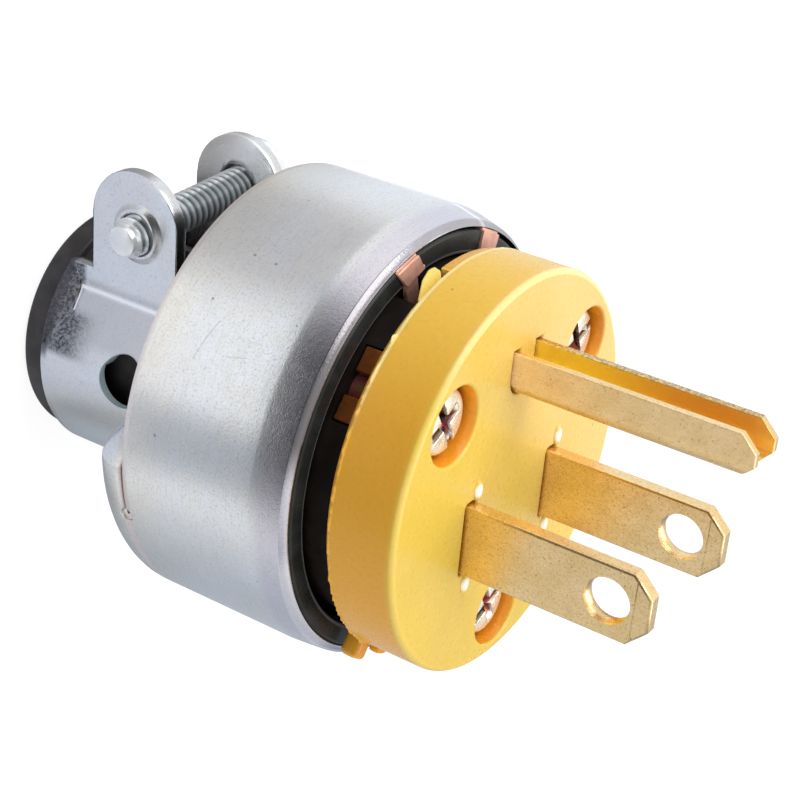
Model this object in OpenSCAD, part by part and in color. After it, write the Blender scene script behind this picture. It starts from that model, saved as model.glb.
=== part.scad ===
// Armoured three-prong power plug, standing on its cord end with the prongs up.
// The axis of the round shell is Z, the cord clamp and the ground prong are on the +Y side,
// and the two flat blades stand side by side along X.

/* [Armour shell] */
// Outside diameter of the shell
shell_d = 39.3; // [36:0.1:46]
// Thickness of the steel sheet
sheet_t = 1.2; // [0.8:0.1:1.4]
// Length of the shell from the outside of its shoulder to its mouth
shell_len = 20; // [18:0.5:26]
// Outside radius of the rounded shoulder
shoulder_r = 3; // [2.2:0.1:4]
// Height of the cut rear edge above the outside of the shoulder
cut_edge_h = 3.8; // [3.2:0.1:5]
// Width of the slit between the cut edge and the shoulder
slit_w = 0.5; // [0.3:0.1:0.8]
// How far the slit runs below the axis
slit_drop = 5.8; // [4:0.1:8]
// How far below the axis the shoulder wall ends
shoulder_drop = 0.5; // [0.2:0.1:2]
// Diameter of the relief hole that ends the slit
notch_d = 1.5; // [1:0.1:2]
// Length over which the wall draws in towards the mouth
mouth_draw_h = 3.5; // [2:0.1:5]
// How far it draws in, as a share of the sheet's thickness
mouth_draw_share = 0.4; // [0.2:0.05:0.45]
// Bevel round the mouth's edge, as a share of the sheet's thickness
mouth_bevel_share = 0.45; // [0.2:0.05:0.45]

/* [Cord neck] */
// Outside diameter of the neck
neck_d = 22.6; // [21:0.1:26]
// Length of the neck below the shoulder
neck_len = 13.2; // [12:0.1:18]
// Fillet between neck and shoulder
neck_fillet = 1; // [0.5:0.1:1.5]
// Length of the round band at the neck's end
band_len = 1.3; // [1:0.1:2.5]
// Height above the axis where the neck's sides start to lean in
press_y = 2; // [1:0.1:3]
// Height above the axis where the leaning sides bend up into the ears
bend_y = 6.6; // [6:0.1:7.2]
// Height above the axis of the low stretch beside each ear
ear_base_y = 8.7; // [8.2:0.1:9.5]
// Distance between the outside faces of the two ears
ear_span = 15; // [14:0.1:16]
// Width of an ear, rounded at its top
ear_w = 9.4; // [8:0.1:10]
// Height above the axis of the clamp screw
screw_y = 13.9; // [13.5:0.1:15]
// Distance of the clamp screw from the neck's end
screw_from_end = 7.3; // [6.8:0.1:7.6]
// Diameter of the hole in each side of the neck
relief_d = 5.2; // [3:0.1:6]
// Height of that hole above the axis
relief_y = 1; // [0:0.1:2]
// Sheet left between that hole and the upper end of the neck
relief_bridge = 0.8; // [0.6:0.1:1.5]

/* [Cord bushing] */
// Diameter of the bushing's flange
flange_d = 21.4; // [21:0.1:24]
// Thickness of the flange
flange_t = 2.8; // [2:0.1:4]
// Rounding of the flange's end edge
flange_round = 0.8; // [0.4:0.1:1]
// Diameter of the cord hole
cord_d = 10; // [8:0.1:10]
// Width of the slot along the bushing's sleeve
sleeve_slot_w = 3; // [2:0.1:4]

/* [Clamp screw] */
// Diameter of the clamp screw
clamp_screw_d = 3.5; // [3:0.1:4.4]
// Diameter of its head
clamp_head_d = 7.6; // [7:0.1:8]
// Height of its head
clamp_head_h = 2.6; // [2:0.1:3]
// Length of the tip that stands out of the threaded ear
clamp_tip = 2.3; // [1.5:0.1:4]
// Height of the drawn collar round the threaded hole
collar_h = 0.4; // [0.3:0.1:1]

/* [Front face] */
// Distance of the face's edge inside the shell's outside
face_inset = 2.2; // [1.8:0.1:2.6]
// Thickness of the face
face_t = 6.05; // [5.5:0.05:8]
// Gap between the face and the shell's mouth
face_gap = 2.75; // [2.4:0.05:4]
// Radius of the face's front edge
face_edge_r = 0.7; // [0.4:0.1:1.8]
// Height of the step ring on the back of the face
step_h = 0.5; // [0.3:0.1:0.8]
// Width of a spacer lug at the face
lug_root_w = 2.6; // [2.4:0.1:4]
// Width of a spacer lug where it meets the liner
lug_tip_w = 1.6; // [1.2:0.1:2.2]

/* [Face screws] */
// Wall between the screws' wells and the edge of the face
well_wall = 1.05; // [0.8:0.05:1.5]
// Angle of the upper screws from the +X and -X directions
face_screw_lift = 39; // [34:1:42]
// Diameter of the face screws
face_screw_d = 3.5; // [3:0.1:3.6]
// Diameter of a face screw's head
face_head_d = 5.6; // [5:0.1:6]
// Height of a face screw's head
face_head_h = 1.7; // [1.4:0.1:2]
// Depth of the heads below the face
face_head_sink = 0.9; // [0.5:0.1:1.2]
// Diameter of the wells round the heads
well_d = 6.6; // [6.4:0.1:7]
// Length of a face screw below its head
face_screw_len = 17; // [14:0.5:18]
// Thickness of the brass clips behind the face
clip_t = 1; // [0.6:0.1:1.2]
// Width of a clip
clip_w = 6.2; // [5.8:0.1:6.6]
// Width of each of a clip's two legs
clip_leg_w = 2.1; // [1.5:0.1:2.4]

/* [Blades] */
// Distance between the blades' middles
blade_pitch = 12.7; // [12.6:0.05:12.8]
// Width of a blade
blade_w = 6.35; // [6.1:0.05:6.6]
// Thickness of a blade
blade_t = 1.4; // [1.2:0.1:1.6]
// Length of a blade in front of the face
blade_len = 16.7; // [15.9:0.1:18.2]
// Length of the corner cut at a blade's tip
blade_chamfer = 1.7; // [1:0.1:2]
// Diameter of a blade's hole
blade_hole_d = 4.1; // [3.9:0.1:4.3]
// Distance of the hole from the blade's tip
blade_hole_in = 3.7; // [3.4:0.1:5]
// How far the blades' middles lie below the axis
blade_drop = 3.3; // [2.8:0.1:3.8]
// Width of a blade's tail behind the face
tail_w = 8.4; // [7.8:0.1:8.8]

/* [Ground prong] */
// Width of the folded prong
ground_w = 4.2; // [4:0.1:4.8]
// Depth of the folded prong
ground_depth = 3.9; // [3.4:0.1:4.6]
// Thickness of its sheet
ground_t = 0.75; // [0.6:0.05:0.8]
// Outside radius of its fold
ground_fold_r = 1.7; // [1.2:0.1:1.9]
// Length in front of the face
ground_len = 20.8; // [19:0.1:22]
// Length of the corner cut at its tip
ground_chamfer = 1.4; // [0.8:0.1:1.7]
// Height of its folded side above the axis
ground_y = 7.7; // [7.4:0.1:8.6]
// Width of its tail behind the face
ground_tail_w = 7.2; // [6.4:0.1:7.6]

/* [Terminals] */
// Length of the three tails behind the face
tail_len = 13.75; // [13:0.05:14]
// Distance of the terminal screws behind the face
terminal_at = 8.5; // [8:0.1:8.6]
// Diameter of the terminal screws
terminal_screw_d = 3.4; // [2.8:0.1:3.5]
// Diameter of their heads
terminal_head_d = 6; // [5:0.1:6.2]
// Clearance between their heads and the housing
terminal_clear = 0.8; // [0.5:0.1:1.2]
// Length of the screw tip past the tail
terminal_tip = 0.75; // [0.4:0.05:1]
// Height of the wire clamps
clamp_h = 6.4; // [6:0.1:6.6]
// Thickness of the copper strap
strap_t = 0.5; // [0.4:0.05:0.6]
// Width of the strap's two arms
strap_w = 2.8; // [2.4:0.1:3.2]
// Angle of each arm from the strap's middle line
strap_angle = 20; // [17:1:23]
// Turn of the middle line from the +Y direction
strap_turn = -4; // [-5:0.5:3]
// Length of the folded arm ends between liner and shell
strap_fold = 5; // [3:0.5:8]

/* [Terminal housing] */
// Gap between the liner and the housing round the terminals
housing_gap = 0.8; // [0.6:0.1:1]
// Wall of the housing
housing_wall = 1.4; // [1:0.1:1.5]
// Height of the ring that ties the housing together above the screw bosses
housing_tie_h = 1.2; // [0.8:0.1:1.3]

/* [Liner] */
// Wall of the insulating liner
liner_wall = 1.6; // [1.3:0.1:1.8]
// Thickness of the liner's floor
liner_floor = 2; // [1.5:0.1:2.4]
// Rounding of the liner's front lip
lip_round = 0.6; // [0.3:0.1:0.7]
// How far the lip stands in over the liner's wall, as a share of the gap to the housing
lip_share = 0.6; // [0.3:0.05:0.7]

/* [Fits] */
// Clearance between pieces that slide into one another
fit_gap = 0.15; // [0.1:0.05:0.2]
// Clearance round a screw in its thread
thread_gap = 0.05; // [0.03:0.01:0.08]

/* [Hidden] */
$fn = 96;

// A cut runs this far past the faces that it opens
past = 1;
// Steps of the curve by which the shell's wall draws in
mouth_draw_steps = 5;
// Shares of the room beside a tail that its wire and its clamp's plate take
wire_share = 0.37;
corner_share = 1.28;
clamp_share = 0.2;

// Levels along the axis, from the flange's end up
neck_z = flange_t;
band_z = neck_z + band_len;
shoulder_z = neck_z + neck_len;
neck_top_z = shoulder_z - neck_fillet / 2;
cut_edge_z = shoulder_z + cut_edge_h;
liner_z = shoulder_z + sheet_t;
liner_floor_z = liner_z + liner_floor;
mouth_z = shoulder_z + shell_len;
face_z = mouth_z + face_gap;
front_z = face_z + face_t;
tail_z = face_z - tail_len;
terminal_z = face_z - terminal_at;
screw_z = neck_z + screw_from_end;
relief_z = neck_top_z - relief_bridge - relief_d / 2;
head_seat_z = front_z - face_head_sink - face_head_h;
housing_tie_z = mouth_z - housing_tie_h;
boss_z = housing_tie_z - fit_gap;
clip_leg_z = mouth_z + fit_gap;

// Radii of the round pieces
shell_r = shell_d / 2;
mouth_draw = sheet_t * mouth_draw_share;
mouth_bevel = sheet_t * mouth_bevel_share;
rim_r = shell_r - mouth_draw - mouth_bevel;
neck_r = neck_d / 2;
flange_r = flange_d / 2;
face_r = shell_r - face_inset;
liner_r = shell_r - sheet_t - fit_gap;
liner_in_r = liner_r - liner_wall;
lip_in_r = liner_in_r - housing_gap * lip_share;
liner_corner = max(shoulder_r - sheet_t + fit_gap, corner_share * (liner_wall + liner_floor));

// The neck's sides lean in from press_y to the ears
ear_x = ear_span / 2;
ear_in_x = ear_x - sheet_t;
press_x = sqrt(pow(neck_r, 2) - pow(press_y, 2));
press_in_x = sqrt(pow(neck_r - sheet_t, 2) - pow(press_y, 2));
press_angle = atan2(press_x - ear_x, bend_y - press_y);
bend_in_y = bend_y - sheet_t * tan(press_angle / 2);
press_clear = press_x * cos(press_angle) + press_y * sin(press_angle) - sheet_t;
sleeve_r = min(press_clear, norm([ear_in_x, bend_in_y])) - fit_gap;
band_plug_r = neck_r - sheet_t - fit_gap;

// Prongs and their tails
blade_x = blade_pitch / 2;
blade_y = -blade_drop;
blade_out_x = blade_x + blade_t / 2;
ground_out_y = ground_y + ground_t;
face_screw_angles = [180 - face_screw_lift, face_screw_lift, 270];
face_screw_circle = face_r - well_wall - well_d / 2;
screw_hole_r = face_screw_d / 2 + fit_gap;
boss_r = liner_in_r - face_screw_circle + fit_gap;

// Housing, clips and the back of the face, with the angles of its spacer lugs
lug_angles = [107, 352, 236];
housing_r = liner_in_r - housing_gap;
housing_in_r = housing_r - housing_wall;
step_in_r = housing_r + fit_gap;
step_out_r = liner_in_r + fit_gap;
clip_leg_r = housing_in_r + fit_gap;

// Wire, clamp and screw head share the room between a blade's tail and the housing
head_low_y = blade_drop + terminal_head_d / 2;
terminal_room = sqrt(pow(housing_in_r - terminal_clear, 2) - pow(head_low_y, 2)) - blade_out_x;
wire_gap = wire_share * terminal_room;
clamp_t = clamp_share * terminal_room;
terminal_head_h = terminal_room - wire_gap - clamp_t;

steel = [0.74, 0.77, 0.8];
chromate = [0.8, 0.72, 0.5];
brass = [0.78, 0.63, 0.32];
copper = [0.72, 0.43, 0.3];
yellow = [0.97, 0.77, 0.2];
black = [0.1, 0.1, 0.11];

// One copy as drawn and one mirrored to the other side of the YZ plane
module both_sides() {
    children();
    mirror([1, 0, 0]) children();
}

// Turns a shape drawn along +Z so that it runs along +X from the origin
module along_x() {
    rotate([0, 90, 0]) children();
}

// Turns a shape drawn along +Z so that it runs along +Y from the origin
module along_y() {
    rotate([-90, 0, 0]) children();
}

// Points of the outside face where the wall draws in towards the bevelled mouth
function mouth_draw_line() =
    let (start = mouth_z - mouth_draw_h, reach = mouth_draw_h - mouth_bevel)
    [for (i = [0:mouth_draw_steps]) let (t = i / mouth_draw_steps)
        [shell_r - mouth_draw * t * t, start + reach * t]];

// Half section of the drawn shell, pushed in from its outside face by inset
module shell_half_section(inset) {
    cup_r = shell_r - inset;
    corner = shoulder_r - inset;
    floor_z = shoulder_z + inset;
    throat_r = neck_r - inset;
    fillet = neck_fillet + inset;
    over = inset > 0 ? past : 0;
    if (inset > 0)
        translate([0, floor_z + corner]) square([cup_r, mouth_z + over - floor_z - corner]);
    else
        polygon(concat([[0, mouth_z], [0, floor_z + corner], [cup_r, floor_z + corner]],
                       mouth_draw_line(), [[rim_r, mouth_z]]));
    translate([0, floor_z]) square([cup_r - corner, corner]);
    intersection() {
        translate([cup_r - corner, floor_z + corner]) circle(corner);
        translate([0, floor_z]) square([cup_r, corner]);
    }
    translate([0, neck_z - over]) square([throat_r, floor_z + over - neck_z]);
    difference() {
        translate([0, floor_z - fillet]) square([throat_r + fillet, fillet]);
        translate([throat_r + fillet, floor_z - fillet]) circle(fillet);
    }
}

// The drawn cup and neck before the ears are bent up
module shell_body() {
    difference() {
        rotate_extrude() difference() {
            shell_half_section(0);
            shell_half_section(sheet_t);
        }
        // Upper rear wall, sheared off along the cut edge
        translate([-shell_r, -shoulder_drop, neck_top_z])
            cube([shell_d, shell_d, cut_edge_z - neck_top_z]);
        // Slit below it, and the relief hole at each end
        translate([-shell_r, -slit_drop, cut_edge_z - slit_w]) cube([shell_d, shell_d, slit_w]);
        translate([-shell_r, -slit_drop, cut_edge_z - slit_w / 2]) along_x() cylinder(d=notch_d, h=shell_d);
        // Mouth of the neck between the two ends of its band
        translate([-ear_in_x, 0, neck_z - past]) cube([2 * ear_in_x, neck_d, band_len + 2 * past]);
        // Stretch where the sides lean in
        translate([-neck_r, press_y, band_z]) cube([neck_d, neck_d, neck_top_z - band_z + past / 2]);
    }
}

// Outline of an ear seen from its side, Y to the right and Z up
module ear_outline() {
    translate([bend_in_y, band_z]) square([ear_base_y - bend_in_y, neck_top_z - band_z]);
    translate([bend_y, screw_z - ear_w / 2]) square([screw_y - bend_y, ear_w]);
    translate([screw_y, screw_z]) circle(d=ear_w);
}

// The leaning side of the neck and the ear that it bends into, on the +X side
module ear() {
    translate([0, 0, band_z]) linear_extrude(neck_top_z - band_z)
        polygon([[press_x, press_y], [ear_x, bend_y], [ear_in_x, bend_in_y], [press_in_x, press_y]]);
    translate([ear_in_x, 0, 0]) rotate([90, 0, 90]) linear_extrude(sheet_t) ear_outline();
}

module armor_shell() {
    color(steel) difference() {
        union() {
            shell_body();
            both_sides() ear();
            translate([-ear_x, screw_y, screw_z]) rotate([0, -90, 0])
                cylinder(r1=clamp_screw_d / 2 + 2 * collar_h, r2=clamp_screw_d / 2 + collar_h, h=collar_h);
        }
        translate([-neck_r - past, relief_y, relief_z]) along_x()
            cylinder(d=relief_d, h=neck_d + 2 * past);
        translate([-neck_r, screw_y, screw_z]) along_x()
            cylinder(d=clamp_screw_d + 2 * thread_gap, h=neck_r);
        translate([0, screw_y, screw_z]) along_x() cylinder(d=clamp_screw_d + 4 * fit_gap, h=neck_r);
    }
}

// Half section of the liner's cup, with a rounded rear corner and a lip that stands in over the wall
module liner_half_section() {
    corner_z = liner_z + liner_corner;
    lip_z = mouth_z - lip_round;
    lip_low_z = mouth_z - 3 * lip_round;
    difference() {
        union() {
            translate([0, liner_z]) square([liner_r - liner_corner, liner_corner]);
            translate([0, corner_z]) square([liner_r, lip_z - corner_z]);
            translate([0, lip_z]) square([liner_r - lip_round, lip_round]);
            translate([liner_r - liner_corner, corner_z]) circle(liner_corner);
            translate([liner_r - lip_round, lip_z]) circle(lip_round);
        }
        polygon([[0, liner_floor_z], [liner_in_r, liner_floor_z], [liner_in_r, lip_low_z],
                 [lip_in_r, lip_low_z + liner_in_r - lip_in_r], [lip_in_r, lip_z],
                 [lip_in_r + lip_round, lip_z], [lip_in_r + lip_round, mouth_z + past], [0, mouth_z + past]]);
        translate([0, liner_z - past]) square([cord_d / 2, liner_floor + 2 * past]);
    }
    translate([lip_in_r + lip_round, lip_z]) circle(lip_round);
}

// Rests for the ends of the three tails
module tail_rests() {
    rest_h = tail_z - liner_floor_z;
    both_sides() translate([blade_x - blade_t, blade_y - tail_w / 2, liner_floor_z])
        cube([2 * blade_t, tail_w, rest_h]);
    translate([-ground_tail_w / 2, ground_y - ground_t, liner_floor_z])
        cube([ground_tail_w, 3 * ground_t, rest_h]);
}

// A slot as wide as a strap arm, from radius r_from outwards and from level z up
module strap_slot(r_from, z) {
    slot_w = strap_w + 2 * fit_gap;
    for (side = [-1, 1])
        rotate([0, 0, 90 + strap_turn + side * strap_angle])
            translate([r_from, -slot_w / 2, z]) cube([shell_r, slot_w, mouth_z]);
}

module insulating_liner() {
    color(black) difference() {
        union() {
            rotate_extrude() liner_half_section();
            for (a = face_screw_angles)
                rotate([0, 0, a]) translate([face_screw_circle, 0, liner_floor_z - past])
                    cylinder(r=boss_r, h=boss_z - liner_floor_z + past);
            tail_rests();
        }
        for (a = face_screw_angles)
            rotate([0, 0, a]) translate([face_screw_circle, 0, liner_floor_z])
                cylinder(d=face_screw_d + 2 * thread_gap, h=boss_z);
        strap_slot(0, mouth_z - strap_t);
        strap_slot(liner_r - strap_t - fit_gap, mouth_z - strap_fold);
    }
}

// A sleeve that stands on the liner's floor and keeps the terminals away from the shell
module terminal_housing() {
    boss_slot = 2 * (boss_r + fit_gap);
    clip_slot = clip_w + 2 * fit_gap;
    color(black) difference() {
        translate([0, 0, liner_floor_z]) cylinder(r=housing_r, h=face_z - liner_floor_z);
        translate([0, 0, liner_z]) cylinder(r=housing_in_r, h=face_z);
        for (a = face_screw_angles) rotate([0, 0, a]) {
            translate([0, -boss_slot / 2, liner_z]) cube([shell_r, boss_slot, housing_tie_z - liner_z]);
            translate([0, -clip_slot / 2, mouth_z]) cube([shell_r, clip_slot, face_z]);
            translate([face_screw_circle, 0, liner_z]) cylinder(r=screw_hole_r, h=face_z);
        }
        strap_slot(0, mouth_z - strap_t - fit_gap);
    }
}

module cord_bushing() {
    color(black) difference() {
        union() {
            rotate_extrude() {
                square([flange_r - flange_round, flange_round]);
                translate([0, flange_round]) square([flange_r, flange_t - flange_round]);
                translate([flange_r - flange_round, flange_round]) circle(flange_round);
            }
            cylinder(r=band_plug_r, h=band_z - fit_gap);
            cylinder(r=sleeve_r, h=liner_z);
        }
        translate([0, 0, -past]) cylinder(d=cord_d, h=liner_z + 2 * past);
        translate([-sleeve_slot_w / 2, 0, band_z - fit_gap]) cube([sleeve_slot_w, flange_d, liner_z]);
    }
}

// A screw with a rounded head seated at the origin, its shank running down -Z
module pan_screw(d, head_d, head_h, length) {
    dome = 0.35 * head_h;
    tip = d / 8;
    slot_w = d / 4;
    slot_z = 0.6 * head_h;
    recess_z = 0.45 * head_h;
    difference() {
        union() {
            rotate_extrude() {
                square([head_d / 2 - dome, head_h]);
                square([head_d / 2, head_h - dome]);
                translate([head_d / 2 - dome, head_h - dome]) circle(dome);
            }
            translate([0, 0, tip - length]) cylinder(d=d, h=length - tip);
            translate([0, 0, -length]) cylinder(d1=d - 2 * tip, d2=d, h=tip);
        }
        for (turn = [0, 90])
            rotate([0, 0, turn]) translate([-d / 2, -slot_w / 2, recess_z]) cube([d, slot_w, head_h]);
        translate([-head_d, -slot_w / 2, slot_z]) cube([2 * head_d, slot_w, head_h]);
    }
}

module clamp_screw() {
    color(steel) translate([ear_x, screw_y, screw_z]) along_x()
        pan_screw(clamp_screw_d, clamp_head_d, clamp_head_h, ear_span + clamp_tip);
}

// Section of the folded ground prong, grown by gap on every face
module ground_section(gap) {
    half = ground_w / 2 + gap;
    fold = ground_fold_r + gap;
    in_fold = ground_fold_r - ground_t - gap;
    low = ground_y - gap;
    top = ground_y + ground_depth + gap;
    in_half = ground_w / 2 - ground_t - gap;
    in_low = ground_y + ground_t + gap;
    difference() {
        union() {
            translate([-half, low + fold]) square([2 * half, top - low - fold]);
            translate([fold - half, low]) square([2 * (half - fold), fold]);
            both_sides() translate([half - fold, low + fold]) circle(fold);
        }
        translate([-in_half, in_low + in_fold]) square([2 * in_half, top]);
        translate([in_fold - in_half, in_low]) square([2 * (in_half - in_fold), top]);
        both_sides() translate([in_half - in_fold, in_low + in_fold]) circle(in_fold);
    }
}

// A prong seen from its side: mid is the middle of its width, with both tip corners cut
module prong_outline(mid, width, tip_z, cut) {
    polygon([[mid - width / 2, face_z], [mid + width / 2, face_z],
             [mid + width / 2, tip_z - cut], [mid + width / 2 - cut, tip_z],
             [mid - width / 2 + cut, tip_z], [mid - width / 2, tip_z - cut]]);
}

// Solid of a side outline, thick along X and centred on x
module side_plate(x, thick) {
    translate([x - thick / 2, 0, 0]) rotate([90, 0, 90]) linear_extrude(thick) children();
}

// A wedge between the back of the face and the liner's lip
module spacer_lug() {
    translate([step_in_r, 0, 0]) rotate([90, 0, 90]) linear_extrude(liner_r - fit_gap - step_in_r)
        polygon([[-lug_root_w / 2, face_z + past], [-lug_tip_w / 2, mouth_z + thread_gap],
                 [lug_tip_w / 2, mouth_z + thread_gap], [lug_root_w / 2, face_z + past]]);
}

module front_face() {
    color(yellow) difference() {
        union() {
            rotate_extrude() {
                translate([0, face_z]) square([face_r, face_t - face_edge_r]);
                translate([0, face_z]) square([face_r - face_edge_r, face_t]);
                translate([face_r - face_edge_r, front_z - face_edge_r]) circle(face_edge_r);
                translate([step_in_r, face_z - step_h]) square([step_out_r - step_in_r, step_h]);
            }
            for (a = lug_angles) rotate([0, 0, a]) spacer_lug();
        }
        both_sides() translate([blade_x, blade_y, front_z / 2])
            cube([blade_t + 2 * fit_gap, blade_w + 2 * fit_gap, 2 * front_z], center=true);
        linear_extrude(2 * front_z) ground_section(fit_gap);
        for (a = face_screw_angles) rotate([0, 0, a]) translate([face_screw_circle, 0, 0]) {
            cylinder(r=screw_hole_r, h=2 * front_z);
            translate([0, 0, head_seat_z]) cylinder(d=well_d, h=face_t);
        }
    }
}

module face_screw(angle) {
    color(chromate) rotate([0, 0, angle]) translate([face_screw_circle, 0, head_seat_z])
        pan_screw(face_screw_d, face_head_d, face_head_h, face_screw_len);
}

// A brass plate behind the face that keeps a face screw captive, with two legs at its outer end
module screw_clip(angle) {
    inner_r = face_screw_circle - clip_w / 2;
    leg_y = (clip_w - clip_leg_w) / 2;
    color(brass) rotate([0, 0, angle]) difference() {
        union() {
            translate([inner_r, -clip_w / 2, face_z - clip_t])
                cube([clip_leg_r + clip_t - inner_r, clip_w, clip_t]);
            for (side = [-1, 1])
                translate([clip_leg_r, side * leg_y - clip_leg_w / 2, clip_leg_z])
                    cube([clip_t, clip_leg_w, face_z - clip_leg_z]);
        }
        translate([face_screw_circle, 0, 0]) cylinder(r=screw_hole_r, h=front_z);
    }
}

// A flat blade with its wider tail; side is -1 or 1 along X
module blade(side) {
    color(brass) difference() {
        union() {
            side_plate(side * blade_x, blade_t)
                prong_outline(blade_y, blade_w, front_z + blade_len, blade_chamfer);
            side_plate(side * blade_x, blade_t)
                translate([blade_y - tail_w / 2, tail_z]) square([tail_w, tail_len]);
        }
        translate([side * blade_x - blade_t, blade_y, front_z + blade_len - blade_hole_in]) along_x()
            cylinder(d=blade_hole_d, h=2 * blade_t);
        translate([side * blade_x - blade_t, blade_y, terminal_z]) along_x()
            cylinder(d=terminal_screw_d + 2 * thread_gap, h=2 * blade_t);
    }
}

module ground_prong() {
    mid_y = ground_y + ground_depth / 2;
    color(brass) difference() {
        union() {
            intersection() {
                linear_extrude(2 * front_z) ground_section(0);
                side_plate(0, ground_w + past)
                    prong_outline(mid_y, ground_depth, front_z + ground_len, ground_chamfer);
            }
            translate([-ground_tail_w / 2, ground_y, tail_z]) cube([ground_tail_w, ground_t, tail_len]);
        }
        translate([0, ground_y - past, terminal_z]) along_y()
            cylinder(d=terminal_screw_d + 2 * thread_gap, h=ground_t + 2 * past);
    }
}

// The copper strap that bonds the shell to the ground prong, folded over the liner's lip
module ground_strap() {
    hub_w = ground_tail_w + 2 * strap_w;
    hub_d = 3 * strap_w;
    hub_z = mouth_z - strap_t;
    tab_r = shell_r - sheet_t - thread_gap;
    color(copper) difference() {
        union() {
            intersection() {
                translate([-hub_w / 2, ground_out_y - hub_d / 2, hub_z]) cube([hub_w, hub_d, strap_t]);
                cylinder(r=housing_in_r - fit_gap, h=mouth_z);
            }
            for (side = [-1, 1]) rotate([0, 0, 90 + strap_turn + side * strap_angle]) {
                intersection() {
                    translate([ground_y, -strap_w / 2, hub_z]) cube([shell_r, strap_w, strap_t]);
                    cylinder(r=tab_r, h=mouth_z);
                }
                intersection() {
                    translate([0, -strap_w / 2, mouth_z - strap_fold + fit_gap])
                        cube([shell_r, strap_w, strap_fold - fit_gap]);
                    difference() {
                        cylinder(r=tab_r, h=mouth_z);
                        translate([0, 0, -past]) cylinder(r=tab_r - strap_t, h=mouth_z + 2 * past);
                    }
                }
            }
        }
        translate([-ground_tail_w / 2 - thread_gap, ground_y - thread_gap, hub_z - past])
            cube([ground_tail_w + 2 * thread_gap, ground_t + 2 * thread_gap, strap_t + 2 * past]);
    }
}

// A wire clamp that straddles a tail of the given width, its plate's near face at the origin along +X
module wire_clamp(width) {
    outer_w = width + 2 * fit_gap + 2 * clamp_t;
    difference() {
        union() {
            translate([0, -outer_w / 2, -clamp_h / 2]) cube([clamp_t, outer_w, clamp_h]);
            for (side = [-1, 1])
                translate([-wire_gap, side * (outer_w - clamp_t) / 2 - clamp_t / 2, -clamp_h / 2])
                    cube([wire_gap + clamp_t, clamp_t, clamp_h]);
        }
        translate([-past, 0, 0]) along_x() cylinder(d=terminal_screw_d + 2 * fit_gap, h=clamp_t + 2 * past);
    }
}

// A terminal screw with its head seated on a clamp's far face, pointing back along -X
module terminal_screw(tail_t) {
    length = clamp_t + wire_gap + tail_t + terminal_tip;
    translate([clamp_t, 0, 0]) along_x()
        pan_screw(terminal_screw_d, terminal_head_d, terminal_head_h, length);
}

// Places a piece at a blade's terminal
module at_blade(side) {
    rotate([0, 0, side < 0 ? 180 : 0])
        translate([blade_out_x + wire_gap, side * blade_y, terminal_z]) children();
}

// Places a piece at the ground prong's terminal
module at_ground() {
    translate([0, ground_out_y + wire_gap, terminal_z]) rotate([0, 0, 90]) children();
}

module blade_clamp(side) {
    color(brass) at_blade(side) wire_clamp(tail_w);
}

module blade_screw(side) {
    color(brass) at_blade(side) terminal_screw(blade_t);
}

module ground_clamp() {
    color(brass) at_ground() wire_clamp(ground_tail_w);
}

module ground_screw() {
    color(brass) at_ground() terminal_screw(ground_t);
}

armor_shell();
insulating_liner();
terminal_housing();
cord_bushing();
clamp_screw();
front_face();
face_screw(face_screw_angles[0]);  // face_screw_left
face_screw(face_screw_angles[1]);  // face_screw_right
face_screw(face_screw_angles[2]);  // face_screw_bottom
screw_clip(face_screw_angles[0]);  // screw_clip_left
screw_clip(face_screw_angles[1]);  // screw_clip_right
screw_clip(face_screw_angles[2]);  // screw_clip_bottom
blade(-1);  // neutral_blade
blade(1);  // line_blade
ground_prong();
ground_strap();
blade_clamp(-1);  // neutral_clamp
blade_clamp(1);  // line_clamp
ground_clamp();
blade_screw(-1);  // neutral_screw
blade_screw(1);  // line_screw
ground_screw();
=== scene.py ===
"""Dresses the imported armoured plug: sheet steel, moulded face, brass prongs, screws and their finishes."""

import math
from contextlib import contextmanager

import bpy
from bpy.props import FloatProperty, FloatVectorProperty, PointerProperty
from mathutils import Matrix, Vector, noise


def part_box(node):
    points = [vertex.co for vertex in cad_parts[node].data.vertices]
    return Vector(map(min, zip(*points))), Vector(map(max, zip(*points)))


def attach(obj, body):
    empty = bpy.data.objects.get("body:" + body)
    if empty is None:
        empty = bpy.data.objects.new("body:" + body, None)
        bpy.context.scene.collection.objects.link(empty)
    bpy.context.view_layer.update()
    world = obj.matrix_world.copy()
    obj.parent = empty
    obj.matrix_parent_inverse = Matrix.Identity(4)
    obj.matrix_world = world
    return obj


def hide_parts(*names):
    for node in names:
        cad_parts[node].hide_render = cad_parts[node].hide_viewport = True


bl_info = {
    "name": "Armoured plug",
    "version": (1, 0, 0),
    "blender": (4, 5, 0),
    "location": "View3D > Sidebar > Plug",
    "description": "Models an armoured three-prong plug round its packed CAD frame",
    "category": "Object",
}

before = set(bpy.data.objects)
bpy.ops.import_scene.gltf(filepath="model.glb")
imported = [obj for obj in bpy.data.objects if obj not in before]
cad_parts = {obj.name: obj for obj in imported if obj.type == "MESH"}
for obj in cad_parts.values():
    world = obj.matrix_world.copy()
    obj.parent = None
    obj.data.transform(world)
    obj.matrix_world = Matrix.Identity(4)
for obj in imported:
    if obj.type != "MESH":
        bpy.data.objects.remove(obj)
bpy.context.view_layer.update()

# Pieces are modelled in millimetres and brought to metres when they are settled
MM = 0.001
COLUMNS = 240
STEP_DEG = 360 / COLUMNS


def sizes_of(group):
    """One group of the plug's settings."""
    return getattr(bpy.context.scene.plug, group)


def reach(node):
    """Lowest and highest corner of a CAD node, in millimetres."""
    low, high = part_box(node)
    return low / MM, high / MM


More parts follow.
